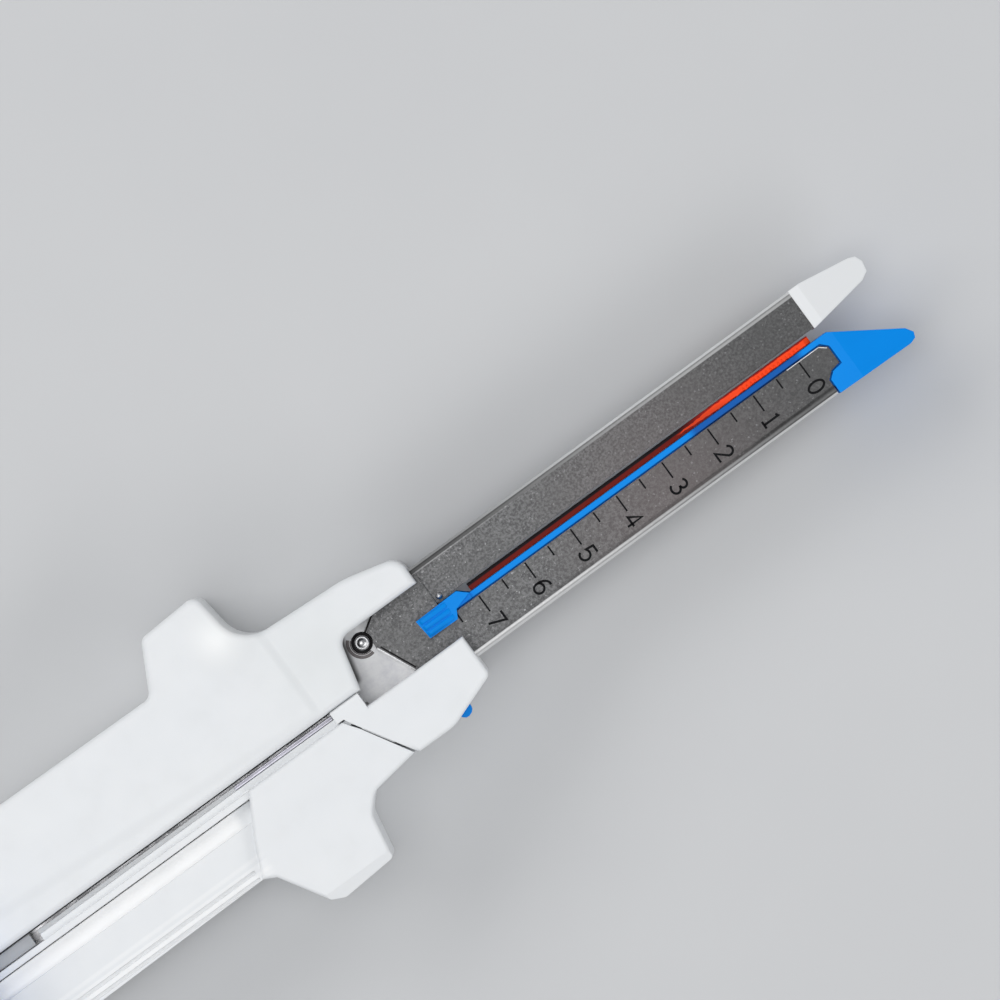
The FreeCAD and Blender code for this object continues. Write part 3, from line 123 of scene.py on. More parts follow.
class Paint:
    """A node material, built step by step. Sizes of textures are in millimetres."""

    def __init__(self, name, metallic=0.0, roughness=0.4):
        self.material = bpy.data.materials.new(name)
        self.material.use_nodes = True
        self.tree = self.material.node_tree
        self.shader = self.tree.nodes["Principled BSDF"]
        self.shader.inputs["Metallic"].default_value = metallic
        self.shader.inputs["Roughness"].default_value = roughness
        self.place = self.tree.nodes.new("ShaderNodeTexCoord").outputs["Object"]

    def set(self, name, source):
        """Feeds an input of the shader from a socket or a plain value."""
        if isinstance(source, bpy.types.NodeSocket):
            self.tree.links.new(source, self.shader.inputs[name])
        else:
            self.shader.inputs[name].default_value = source

    def join(self, target, source):
        """Feeds any input from a socket or a plain value."""
        if isinstance(source, bpy.types.NodeSocket):
            self.tree.links.new(source, target)
        else:
            target.default_value = source

    def noise(self, size, detail=3.0, roughness=0.55, stretch=None):
        """Soft blotches of about the given size, stretched along an axis if asked."""
        place = self.place
        if stretch:
            mapping = self.tree.nodes.new("ShaderNodeMapping")
            mapping.inputs["Scale"].default_value = stretch
            self.tree.links.new(place, mapping.inputs["Vector"])
            place = mapping.outputs["Vector"]
        node = self.tree.nodes.new("ShaderNodeTexNoise")
        node.inputs["Scale"].default_value = 1 / (size * MM)
        node.inputs["Detail"].default_value = detail
        node.inputs["Roughness"].default_value = roughness
        self.tree.links.new(place, node.inputs["Vector"])
        return node.outputs[0]

    def cells(self, size):
        """A random value in each small cell."""
        node = self.tree.nodes.new("ShaderNodeTexVoronoi")
        node.inputs["Scale"].default_value = 1 / (size * MM)
        self.tree.links.new(self.place, node.inputs["Vector"])
        split = self.tree.nodes.new("ShaderNodeSeparateColor")
        self.tree.links.new(node.outputs["Color"], split.inputs[0])
        return split.outputs[0]

    def remap(self, value, low, high, new_low=0.0, new_high=1.0):
        """Carries one range of values to another, with soft ends."""
        node = self.tree.nodes.new("ShaderNodeMapRange")
        node.interpolation_type = "SMOOTHSTEP"
        self.join(node.inputs["Value"], value)
        names = ("From Min", "From Max", "To Min", "To Max")
        for name, number in zip(names, (low, high, new_low, new_high)):
            node.inputs[name].default_value = number
        return node.outputs["Result"]

    def maths(self, operation, first, second=0.0):
        """One sum on two values."""
        node = self.tree.nodes.new("ShaderNodeMath")
        node.operation = operation
        self.join(node.inputs[0], first)
        self.join(node.inputs[1], second)
        return node.outputs[0]

    def mix(self, factor, first, second):
        """One colour turning into another."""
        node = self.tree.nodes.new("ShaderNodeMix")
        node.data_type = "RGBA"
        self.join(node.inputs[0], factor)
        self.join(node.inputs[6], first)
        self.join(node.inputs[7], second)
        return node.outputs[2]

    def coordinate(self, axis):
        """One coordinate of the surface, in metres in the part's frame."""
        split = self.tree.nodes.new("ShaderNodeSeparateXYZ")
        self.tree.links.new(self.place, split.inputs[0])
        return split.outputs[axis]

    def spot(self, x, y, radius):
        """A round patch about a place, 1 in its middle and 0 beyond the radius."""
        along = self.maths("SUBTRACT", self.coordinate(0), at(x, y).x)
        up = self.maths("SUBTRACT", self.coordinate(1), at(x, y).y)
        square = self.maths("ADD", self.maths("MULTIPLY", along, along), self.maths("MULTIPLY", up, up))
        return self.remap(self.maths("SQRT", square), 0.0, radius * MM, 1.0, 0.0)

    def stretch_mask(self, axis, low, high, blend):
        """1 between two places along an axis, turning to 0 over a short stretch outside them."""
        start, end = at(low, low)[axis], at(high, high)[axis]
        value = self.coordinate(axis)
        rise = self.remap(value, start - blend * MM, start)
        fall = self.remap(value, end, end + blend * MM, 1.0, 0.0)
        return self.maths("MULTIPLY", rise, fall)

    def along(self, left, right, left_value, right_value):
        """A value that changes evenly along the jaws from one place to another."""
        return self.remap(self.coordinate(0), at(left, 0).x, at(right, 0).x, left_value, right_value)

    def product(self, *values):
        """All the values multiplied together."""
        result = values[0]
        for value in values[1:]:
            result = self.maths("MULTIPLY", result, value)
        return result

    def beside(self, start, end, reach):
        """1 at a line between two places, turning to 0 within a distance on its left side."""
        step_x, step_y = end[0] - start[0], end[1] - start[1]
        length = math.hypot(step_x, step_y)
        place = at(*start)
        across = self.maths("MULTIPLY", self.maths("SUBTRACT", self.coordinate(0), place.x), -step_y / length)
        up = self.maths("MULTIPLY", self.maths("SUBTRACT", self.coordinate(1), place.y), step_x / length)
        return self.remap(self.maths("ADD", across, up), 0.0, reach * MM, 1.0, 0.0)

    def before(self, x, blend):
        """1 behind a place along the jaws, turning to 0 over a short stretch in front of it."""
        edge = at(x, 0).x
        return self.remap(self.coordinate(0), edge, edge + blend * MM, 1.0, 0.0)

    def side_facing(self):
        """How far the surface turns away from the part's two broad sides, 0 to 1."""
        geometry = self.tree.nodes.new("ShaderNodeNewGeometry")
        split = self.tree.nodes.new("ShaderNodeSeparateXYZ")
        self.tree.links.new(geometry.outputs["Normal"], split.inputs[0])
        return self.maths("SUBTRACT", 1.0, self.maths("ABSOLUTE", split.outputs[2]))

    def rounded(self, radius):
        """A normal that rounds off sharp edges."""
        node = self.tree.nodes.new("ShaderNodeBevel")
        node.samples = 4
        node.inputs["Radius"].default_value = radius * MM
        return node.outputs[0]

    def bump(self, height, depth, strength=1.0, normal=None):
        """A relief of the given depth, laid over a normal."""
        node = self.tree.nodes.new("ShaderNodeBump")
        node.inputs["Strength"].default_value = strength
        node.inputs["Distance"].default_value = depth * MM
        self.join(node.inputs["Height"], height)
        if normal:
            self.tree.links.new(normal, node.inputs["Normal"])
        return node.outputs["Normal"]


def white_plastic(name, wing=False, grip=False):
    """Moulded white covers: fine spark texture, a slight flow pattern and a soft gloss. The upper covers
    swell at the foot of the wing and slope off towards the firing slot, with a painted highlight on the swell
    and painted shade beside the wing. The lever's grip has painted highlights on the ledge by the rail, on
    two crests by its lower edge and on the field of the ridges."""
    paint = Paint(name)
    flow = paint.noise(22, 2, 0.5, (0.5, 1, 1))
    handling = paint.noise(5, 4, 0.6)
    cool = paint.mix(flow, (0.79, 0.81, 0.83, 1), (0.83, 0.84, 0.845, 1))
    colour = paint.mix(paint.remap(handling, 0.5, 0.85, 0, 0.35), cool, (0.77, 0.785, 0.79, 1))
    if wing:
        # Painted highlight: a lighter spot on the swell below the wing
        patch = paint.maths("MULTIPLY", paint.spot(*SWELL_PLACE, SWELL_REACH), 0.9)
        colour = paint.mix(patch, colour, (0.95, 0.96, 0.955, 1))
        # Painted shade: a darker spot beside the wing
        wing_shade = paint.maths("MULTIPLY", paint.spot(*WING_SHADE_PLACE, WING_SHADE_REACH), 0.6)
        colour = paint.mix(wing_shade, colour, (0.74, 0.765, 0.765, 1))
    if grip:
        # Painted highlights on the grip: the ledge, two crests and the ridge field, fading along the grip
        ledge = paint.stretch_mask(1, *LEDGE, 0.12)
        for crest in CRESTS:
            line = paint.stretch_mask(1, crest - 0.12, crest + 0.12, 0.45)
            ledge = paint.maths("ADD", ledge, paint.product(line, 0.35))
        ledge = paint.maths("ADD", ledge, paint.product(paint.stretch_mask(1, *RIDGES, 0.1), 0.4))
        ledge = paint.product(ledge, paint.before(GRIP_FRONT, 2.0), paint.along(*GRIP_REACH, 0.95, 0.75))
        colour = paint.mix(ledge, colour, (0.97, 0.97, 0.965, 1))
    paint.set("Base Color", colour)
    paint.set("Roughness", paint.remap(handling, 0.25, 0.75, 0.30, 0.44))
    paint.set("IOR", 1.49)
    paint.set("Subsurface Weight", 0.06)
    paint.set("Subsurface Radius", (0.0012, 0.0011, 0.001))
    relief = paint.bump(flow, 0.25, 0.25, paint.rounded(0.22))
    if wing:
        relief = paint.bump(paint.spot(*SWELL_PLACE, SWELL_REACH), SWELL_TALL, 1.0, relief)
        slope = paint.maths("MULTIPLY", paint.coordinate(0), CREASE_SLOPE)
        level = paint.maths("ADD", paint.coordinate(1), slope)
        crease = at(CREASE_END[0], CREASE_END[1]).y + CREASE_SLOPE * at(*CREASE_END).x
        fall = paint.remap(level, crease - CREASE_WIDE * MM, crease)
        fall = paint.maths("MULTIPLY", fall, paint.before(CREASE_END[0] - 2, 2))
        relief = paint.bump(fall, CREASE_DEEP, 1.0, relief)
    paint.set("Normal", paint.bump(paint.noise(0.22, 2), 0.02, 0.35, relief))
    return paint.material


def coloured_plastic(name, colour, shade, texture, shading=None):
    """Moulded coloured plastic with faint flow marks and a fine surface. A shading rule may
    add the darker places of one piece."""
    paint = Paint(name)
    flow = paint.noise(9, 3, 0.5, (0.25, 1, 1))
    fine = paint.noise(texture, 2)
    tone = paint.mix(paint.remap(flow, 0.3, 0.75, 0, 0.5), colour, shade)
    if shading:
        tone = shading(paint, tone)
    paint.set("Base Color", tone)
    paint.set("Roughness", paint.remap(fine, 0.3, 0.7, 0.34, 0.46))
    paint.set("IOR", 1.49)
    paint.set("Specular IOR Level", 0.12)
    paint.set("Normal", paint.bump(fine, 0.02, 0.4, paint.rounded(0.15)))
    return paint.material


def deck_shading(paint, tone):
    """The deck's edge lies in the shade of the retainer's overhanging wings."""
    along = paint.stretch_mask(0, SHADE_START, SHADE_END, 2.0)
    band = paint.stretch_mask(1, -0.3, 1.05, 0.1)
    shade = paint.maths("MULTIPLY", paint.maths("MULTIPLY", along, band), 0.85)
    return paint.mix(shade, tone, srgb(18, 82, 165))


def retainer_shading(paint, tone):
    """Painted light and shade on the retainer: a lit band on the wings, in the plain red, that tapers off
    backwards, with painted shade on the rims beside it; thin and dark behind the wings, a painted shade.
    """
    ragged = paint.maths("MULTIPLY", paint.maths("SUBTRACT", paint.noise(0.9, 3, 0.6), 0.5), 0.0005)
    height = paint.maths("ADD", paint.coordinate(1), ragged)
    off_middle = paint.maths("ABSOLUTE", paint.maths("SUBTRACT", height, at(0, WING_MIDDLE).y))
    ramp = paint.remap(paint.coordinate(0), at(WING_START, 0).x, at(WING_FULL, 0).x, 0.12 * MM, 0.52 * MM)
    bright = paint.remap(paint.maths("DIVIDE", off_middle, ramp), 0.85, 1.1, 1.0, 0.0)
    bright = paint.maths("MULTIPLY", bright, paint.remap(paint.coordinate(0), at(WING_START, 0).x,
                                                         at(WING_START + 2, 0).x))
    strip = paint.remap(paint.coordinate(1), at(0, 1.95).y, at(0, 2.15).y, 1.0, 0.0)
    # Painted shade: near black above the band, dark red below it
    dark = paint.mix(strip, srgb(18, 8, 14), srgb(132, 28, 12))
    rim = paint.mix(paint.before(WING_START, 6.0), srgb(150, 22, 14), dark)
    return paint.mix(bright, rim, tone)


def bend_tone(paint, upper):
    """Painted highlight on a jaw's folded edge: its brightness, which changes along the jaw, for its inner
    and outer part.
    """
    if upper:
        inner = paint.along(15, 85, 0.09, 0.42)
        outer = paint.along(15, 60, 0.40, 0.90)
    else:
        inner = paint.along(22, 95, 0.66, 0.12)
        outer = paint.along(22, 95, 0.86, 0.80)
    return inner, outer


def grey_of(paint, value):
    """A neutral colour of a brightness that changes over the surface."""
    join = paint.tree.nodes.new("ShaderNodeCombineColor")
    for index in range(3):
        paint.join(join.inputs[index], value)
    return join.outputs[0]


def blasted(name, upper=False):
    """Bead-blasted steel: fine grey mottle with bright specks painted as glints, lighter where it is folded,
    partly from burnish and partly a painted highlight, with a painted shade line along the lower jaw's fold.
    The upper jaw's ear was left smooth; its lighter colour is a painted reflection of the pale surround, with
    faint smudges and a painted shade along the throat of the covers."""
    paint = Paint(name, metallic=1.0)
    mottle = paint.noise(0.45, 4, 0.65)
    grain = paint.noise(0.24, 3, 0.6)
    cloud = paint.noise(7, 4, 0.6)
    specks = paint.remap(paint.cells(0.24), 0.972, 1.0)
    low, high = STEEL_DARK, STEEL_LIGHT
    grey = paint.mix(paint.remap(mottle, 0.34, 0.66), (low, low, low * 1.02, 1), (high, high, high * 1.01, 1))
    grey = paint.mix(paint.remap(cloud, 0.35, 0.7, 0, 0.4), grey, (STEEL_CLOUD, STEEL_CLOUD, STEEL_CLOUD, 1))
    tint = paint.product(paint.spot(*TINT_PLACE, TINT_REACH), 0.6)
    grey = paint.mix(tint, grey, (STEEL_CLOUD * 1.14, STEEL_CLOUD * 0.96, STEEL_CLOUD * 0.95, 1))
    grey = paint.mix(paint.along(55, 92, 0.0, 0.5), grey, (low * 0.7, low * 0.7, low * 0.7, 1))
    # Painted glints: bright specks of the blasted surface, weaker towards the front of the jaw
    grey = paint.mix(paint.product(specks, paint.along(25, 50, 0.5, 0.22)), grey, (0.50, 0.50, 0.51, 1))
    if upper:
        line = paint.product(paint.stretch_mask(1, 9.52, 9.62, 0.14), paint.along(20, 48, 0.28, 0.0))
        grey = paint.mix(line, grey, (0.6, 0.6, 0.6, 1))
    else:
        # Painted shade: a dark line along the inner border of the lower jaw's fold, broken into streaks
        streaks = paint.noise(1.6, 4, 0.7, (0.12, 1, 1))
        line = paint.product(paint.stretch_mask(1, -7.62, -7.4, 0.28), paint.along(30, 90, 0.25, 0.8),
                             paint.remap(streaks, 0.3, 0.6, 0.4, 1.0))
        grey = paint.mix(line, grey, (0.03, 0.03, 0.03, 1))
    facing = paint.side_facing()
    inner, outer = bend_tone(paint, upper)
    # Painted shade: the fold's inner highlight is dimmed on its way to the outer one
    dull = paint.product(paint.remap(facing, 0.10, 0.15), 0.22)
    inner = paint.product(inner, paint.maths("SUBTRACT", 1.0, dull))
    colour = paint.mix(paint.remap(facing, 0.010, 0.035), grey, grey_of(paint, inner))
    colour = paint.mix(paint.remap(facing, 0.24, 0.34), colour, grey_of(paint, outer))
    rough = paint.remap(grain, 0.3, 0.7, 0.38, 0.52)
    if upper:
        # The ear is smooth; its near-white, barely metallic colour is a painted reflection of the pale
        # surround
        smudge = paint.noise(3.2, 4, 0.6)
        plain = paint.mix(paint.remap(smudge, 0.42, 0.74), (0.985, 0.985, 0.99, 1), (0.84, 0.84, 0.87, 1))
        # Painted shade along the throat of the covers
        shade = paint.product(paint.beside(THROAT_TOP, THROAT_FOOT, THROAT_SHADE), 0.9)
        shade = paint.product(shade, paint.remap(paint.coordinate(1), at(0, -0.9).y, at(0, 0.4).y))
        plain = paint.mix(shade, plain, (0.05, 0.05, 0.05, 1))
        ear = paint.before(EAR_SMOOTH_LIT, 1.5)
        colour = paint.mix(ear, colour, plain)
        paint.set("Metallic", paint.remap(ear, 0.0, 1.0, 1.0, 0.08))
    paint.set("Base Color", colour)
    paint.set("Roughness", rough)
    paint.set("Normal", paint.bump(grain, 0.03, 0.55, paint.rounded(0.12)))
    return paint.material


def bright_steel(name, colour, low, high, grain_size):
    """Drawn or ground steel with a fine lengthwise grain."""
    paint = Paint(name, metallic=1.0)
    grain = paint.noise(grain_size, 4, 0.65, (0.08, 1, 1))
    smudge = paint.noise(2.5, 3)
    darker = tuple(value * 0.72 for value in colour[:3]) + (1.0,)
    paint.set("Base Color", paint.mix(paint.remap(grain, 0.3, 0.7), colour, darker))
    paint.set("Roughness", paint.remap(smudge, 0.3, 0.7, low, high))
    paint.set("Normal", paint.bump(grain, 0.008, 0.4, paint.rounded(0.10)))
    return paint.material


def printed_ink():
    """Black printing, a little thin where the steel's grain comes through."""
    paint = Paint("printed_ink", roughness=0.55)
    thin = paint.remap(paint.noise(0.35, 3), 0.62, 0.78, 0, 0.4)
    paint.set("Base Color", paint.mix(thin, (0.004, 0.004, 0.005, 1), (0.06, 0.06, 0.062, 1)))
    paint.set("Specular IOR Level", 0.12)
    paint.set("Normal", paint.bump(paint.noise(0.2, 2), 0.005, 0.4))
    return paint.material


def floor_paint():
    """Plain pale studio floor."""
    paint = Paint("floor_paint", roughness=0.75)
    cloud = paint.noise(60, 3)
    paint.set("Base Color", paint.mix(cloud, (0.60, 0.605, 0.615, 1), (0.64, 0.645, 0.65, 1)))
    return paint.material


WHITE = white_plastic("white_plastic")
WING_WHITE = white_plastic("upper_cover_white", wing=True)
GRIP_WHITE = white_plastic("lever_cover_white", grip=True)
BLUES = (srgb(0, 142, 238), srgb(0, 133, 228))
BLUE = coloured_plastic("blue_plastic", *BLUES, 0.3)
DECK_BLUE = coloured_plastic("deck_blue", *BLUES, 0.3, deck_shading)
RED = coloured_plastic("red_plastic", srgb(255, 74, 26), srgb(245, 62, 20), 0.35, retainer_shading)
STEEL = blasted("blasted_steel")
ANVIL_STEEL = blasted("anvil_steel", upper=True)
BRIGHT = bright_steel("bright_steel", (0.66, 0.66, 0.68, 1), 0.22, 0.34, 0.25)
SLOT_STEEL = bright_steel("slot_steel", (0.60, 0.59, 0.66, 1), 0.30, 0.42, 0.3)
PIN_STEEL = bright_steel("pin_steel", (0.58, 0.58, 0.59, 1), 0.20, 0.32, 0.2)
# Painted shade: near black steel for the washer and the shade strips
PAINTED_SHADE_STEEL = bright_steel("painted_shade_steel", (0.022, 0.021, 0.022, 1), 0.45, 0.6, 0.4)
WORN_STEEL = bright_steel("worn_steel", (0.13, 0.12, 0.12, 1), 0.35, 0.5, 0.4)
# Painted highlight: near white steel for the highlight strips
EDGE_HIGHLIGHT_STEEL = bright_steel("edge_highlight_steel", (0.95, 0.95, 0.96, 1), 0.45, 0.6, 0.3)
STAPLE_STEEL = bright_steel("staple_steel", (0.62, 0.61, 0.60, 1), 0.25, 0.35, 0.1)
INK = printed_ink()

FINISHES = {
    "white_plastic": WHITE,
    "blue_plastic": BLUE,
    "red_plastic": RED,
    "blasted_steel": STEEL,
    "bright_steel": BRIGHT,
    "pin_steel": PIN_STEEL,
}
NODE_FINISHES = {
    "anvil_channel": ANVIL_STEEL,
    "anvil_plate": ANVIL_STEEL,
    "cartridge_channel": STEEL,
    "upper_cover_near": WING_WHITE,
    "upper_cover_far": WING_WHITE,
    "lever_cover_near": GRIP_WHITE,
    "lever_cover_far": GRIP_WHITE,
    "staples": STAPLE_STEEL,
    "cartridge_body": DECK_BLUE,
}


def dress_nodes():
    """Gives every piece of the frame its finish, by the slot that the record names."""
    slots = {entry["node"]: entry["material_slot"] for entry in frame["record"]["subparts"]}
    for name, node in frame["nodes"].items():
        material = NODE_FINISHES.get(name) or FINISHES[slots[name]]
        if not node.material_slots:
            node.data.materials.append(material)
        for place in node.material_slots:
            place.link = "OBJECT"
            place.material = material


def new_piece(name, bm, body, material, sharp=35.0):
    """Turns a finished bmesh into a piece that rides on a body."""
    mesh = bpy.data.meshes.new(name)
    bmesh.ops.recalc_face_normals(bm, faces=bm.faces)
    bm.to_mesh(mesh)
    bm.free()
    mesh.shade_smooth()
    mesh.set_sharp_from_angle(angle=math.radians(sharp))
    mesh.materials.append(material)
    piece = bpy.data.objects.new(name, mesh)
    bpy.context.scene.collection.objects.link(piece)
    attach(piece, body)
    return piece


def loft(bm, rings):
    """A closed skin through rings of points, with flat ends."""
    rows = [[bm.verts.new(point) for point in ring] for ring in rings]
    for low, high in zip(rows, rows[1:]):
        for index in range(len(low)):
            after = (index + 1) % len(low)
            bm.faces.new((low[index], low[after], high[after], high[index]))
    bm.faces.new(rows[0])
    bm.faces.new(list(reversed(rows[-1])))


def circle(radius):
    """The same radius in every direction."""
    return lambda angle: radius


def cross(reach, half):
    """Radius of a cross-shaped recess in each direction."""
    def radius(angle):
        turn = abs((angle + math.pi / 4) % (math.pi / 2) - math.pi / 4)
        return min(reach / math.cos(turn), half / max(1e-6, math.sin(turn)))
    return radius


def turned(bm, centre, rings, segments=48):
    """Rings about an upright axis, each with its own radius rule and level."""
    x, y = centre
    points = []
    for radius, level in rings:
        ring = []
        for step in range(segments):
            angle = 2 * math.pi * step / segments
            reach = radius(angle)
            ring.append(at(x + reach * math.cos(angle), y + reach * math.sin(angle), level))
        points.append(ring)
    loft(bm, points)


def lathe(bm, profile, centre, segments=48):
    """Revolves a profile of (radius, z) about an upright axis through a place."""
    turned(bm, centre, [(circle(radius), level) for radius, level in profile], segments)


def run(bm, section, stations):
    """A bar along the jaws. The section is (y, z); each station is (x, scale about its middle)."""
    middle_y = sum(y for y, z in section) / len(section)
    middle_z = sum(z for y, z in section) / len(section)
    rings = []
    for x, scale in stations:
        rings.append([at(x, middle_y + (y - middle_y) * scale, middle_z + (z - middle_z) * scale)
                      for y, z in section])
    loft(bm, rings)


# Printed scale: ticks each half centimetre, and a figure at each whole one
SCALE_ZERO = 91.6
TICK_LINE = 0.31
TICK_TOP = -0.4
LONG_TICK = -3.75
SHORT_TICK = -2.45
FIGURE_TALL = 3.1
FIGURE_LINE = 0.43
FIGURE_ROW = -5.65
INK_THICK = 0.02
FIGURE_WIDE = 0.64


def round_path(middle, across, tall, start=0, end=360, step=15):
    """Points on an ellipse between two angles."""
    count = max(2, int(abs(end - start) / step))
    points = []
    for index in range(count + 1):
        angle = math.radians(start + (end - start) * index / count)
        points.append((middle[0] + across * math.cos(angle), middle[1] + tall * math.sin(angle)))
    return points


# Strokes of the figures on a field 0.64 wide and 1 tall, drawn with a pen
FIGURES = {
    0: [round_path((0.32, 0.5), 0.29, 0.5)],
    1: [[(0.20, 0.90), (0.36, 1.0), (0.36, 0.0)], [(0.12, 0.02), (0.60, 0.02)]],
    2: [round_path((0.31, 0.72), 0.27, 0.28, 165, -25) + [(0.02, 0.0), (0.62, 0.0)]],
    3: [round_path((0.29, 0.77), 0.25, 0.23, 150, -90), round_path((0.29, 0.27), 0.31, 0.27, 90, -150)],
    4: [[(0.46, 0.0), (0.46, 1.0), (0.0, 0.31), (0.64, 0.31)]],
    5: [[(0.58, 1.0), (0.13, 1.0), (0.08, 0.54)] + round_path((0.30, 0.31), 0.31, 0.31, 128, -150)],
    6: [round_path((0.46, 0.40), 0.44, 0.60, 82, 180), round_path((0.31, 0.30), 0.29, 0.30)],
    7: [[(0.02, 1.0), (0.62, 1.0), (0.24, 0.0)]],
}


def pen_stroke(bm, points, width, low, high):
    """A flat line of ink along points on the jaw's face, with mitred bends."""
    half = width / 2
    closed = math.dist(points[0], points[-1]) < 1e-6
    if closed:
        points = points[:-1]
    count = len(points)
    left, right = [], []
    for index, (x, y) in enumerate(points):
        before = points[index - 1] if index or closed else points[0]
        after = points[(index + 1) % count] if index < count - 1 or closed else points[-1]
        one = Vector((x - before[0], y - before[1]))
        two = Vector((after[0] - x, after[1] - y))
        one = one.normalized() if one.length else two.normalized()
        two = two.normalized() if two.length else one
        middle = (one + two).normalized()
        reach = half / max(0.5, middle.dot(one))
        left.append((x - middle.y * reach, y + middle.x * reach))
        right.append((x + middle.y * reach, y - middle.x * reach))
    rows = []
    for places in (left, right):
        for level in (low, high):
            rows.append([bm.verts.new(at(x, y, level)) for x, y in places])
    left_low, left_high, right_low, right_high = rows
    last = count if closed else count - 1
    for index in range(last):
        after = (index + 1) % count
        for first, second in ((left_high, right_high), (right_high, right_low),
                              (right_low, left_low), (left_low, left_high)):
            bm.faces.new((first[index], first[after], second[after], second[index]))
    if not closed:
        for index in (0, count - 1):
            bm.faces.new((left_low[index], left_high[index], right_high[index], right_low[index]))


def printed_scale(side, word):
    """Ticks and figures on one side of the lower jaw."""
    face = side * JAW_FACE
    levels = (face - side * 0.01, face + side * INK_THICK)
    bm = bmesh.new()
    for half_centimetre in range(16):
        x = SCALE_ZERO - 5 * half_centimetre
        foot = SHORT_TICK if half_centimetre % 2 else LONG_TICK
        pen_stroke(bm, [(x, TICK_TOP), (x, foot)], TICK_LINE, *levels)
    for figure, strokes in FIGURES.items():
        x = SCALE_ZERO - 10 * figure
        for stroke in strokes:
            points = []
            for across, up in stroke:
                shift = (across - FIGURE_WIDE / 2) * FIGURE_TALL
                points.append((x + (up - 0.5) * FIGURE_TALL, FIGURE_ROW - side * shift))
            pen_stroke(bm, points, FIGURE_LINE, *levels)
    new_piece("printed_scale_" + word, bm, "cartridge_half", INK)


def latch_pin():
    """The pin with its domed, ringed ends."""
    radius = PIN_RADIUS
    face = (PIN_BOX[1].z - ORIGIN.z) / MM
    end = [
        (radius, face - 0.9), (radius, face - 0.42), (radius - 0.06, face - 0.30),
        (radius - 0.16, face - 0.24), (radius - 0.34, face - 0.22), (radius - 0.42, face - 0.27),
        (radius - 0.50, face - 0.24), (radius - 0.60, face - 0.14), (0.35, face - 0.04), (0.1, face),
    ]
    profile = [(r, -z) for r, z in reversed(end)] + end
    bm = bmesh.new()
    lathe(bm, profile, (0, PIN_HEIGHT))
    piece = new_piece("latch_pin_turned", bm, "anvil_half", PIN_STEEL, 50)
    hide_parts("latch_pin")


# Ridges of the cartridge's two grip lugs
LUG_FACE = JAW_FACE + 0.3 + 1.4
RIDGE_LEFT = 10.35
RIDGE_RIGHT = 16.0
RIDGE_ROWS = (1.85, 0.6, -0.65)
RIDGE_HALF = 0.52
RIDGE_TALL = 0.3


def lug_ridges(side, word):
    """Three rounded ridges along a grip lug, sloped at both ends."""
    bm = bmesh.new()
    rise = [(-1.0, -0.05), (-0.8, 0.18), (-0.4, 0.28), (0, RIDGE_TALL)]
    section = rise + [(-across, height) for across, height in reversed(rise[:-1])]
    stops = ((RIDGE_LEFT, 0.0), (RIDGE_LEFT + 0.35, 1.0), (RIDGE_RIGHT - 0.6, 1.0), (RIDGE_RIGHT, 0.0))
    for row in RIDGE_ROWS:
        rings = []
        for x, swell in stops:
            ring = []
            for across, height in section:
                level = LUG_FACE + (height if height < 0 else 0.01 + height * swell)
                ring.append(at(x, row + across * RIDGE_HALF, side * level))
            rings.append(ring)
        loft(bm, rings)
    new_piece("lug_ridges_" + word, bm, "cartridge", BLUE, 30)


# Steel strip along the firing slot, held on the rail's step
STRIP_LEFT = -33.1
STRIP_RIGHT = -12.0
STRIP_LOW = -2.84
STRIP_TOP = -2.0
STRIP_SEAT = 10.25
STRIP_FACE = 10.7
STRIP_BEVEL = 0.1


def slot_strip(side, word):
    """A drawn steel strip with bevelled edges and a fine rolled groove along its middle."""
    middle = (STRIP_LOW + STRIP_TOP) / 2
    profile = [
        (STRIP_LOW, STRIP_SEAT), (STRIP_LOW, STRIP_FACE - STRIP_BEVEL), (STRIP_LOW + STRIP_BEVEL, STRIP_FACE),
        (middle - 0.08, STRIP_FACE), (middle, STRIP_FACE - 0.04), (middle + 0.08, STRIP_FACE),
        (STRIP_TOP - STRIP_BEVEL, STRIP_FACE), (STRIP_TOP, STRIP_FACE - STRIP_BEVEL), (STRIP_TOP, STRIP_SEAT),
    ]
    section = [(y, side * level) for y, level in profile]
    stations = ((STRIP_LEFT, 0.9), (STRIP_LEFT + STRIP_BEVEL, 1.0), (STRIP_RIGHT - STRIP_BEVEL, 1.0),
                (STRIP_RIGHT, 0.9))
    bm = bmesh.new()
    run(bm, section, stations)
    new_piece("slot_strip_" + word, bm, "cartridge_half", SLOT_STEEL, 30)


# Screws of the covers, driven from the far side: place, distance of the face, and far end
SCREWS = {
    "upper_cover_screws": ("anvil_half", [((-25.5, 22.5), 12.5, 3.5), ((-62.0, 15.2), 12.5, 3.5),
                                          ((-100.0, 15.2), 12.5, 3.5)]),
    "front_cover_screws": ("cartridge_half", [((11.6, -11.3), 12.5, 3.5)]),
    "lever_screws": ("locking_lever", [((-23.5, -23.0), 12.5, 3.5), ((-100.0, -12.0), 10.4, 7.8)]),
}
HEAD_RADIUS = 2.15
SHANK_RADIUS = 1.15
THREAD_FOOT = 0.95
THREAD_PITCH = 0.5


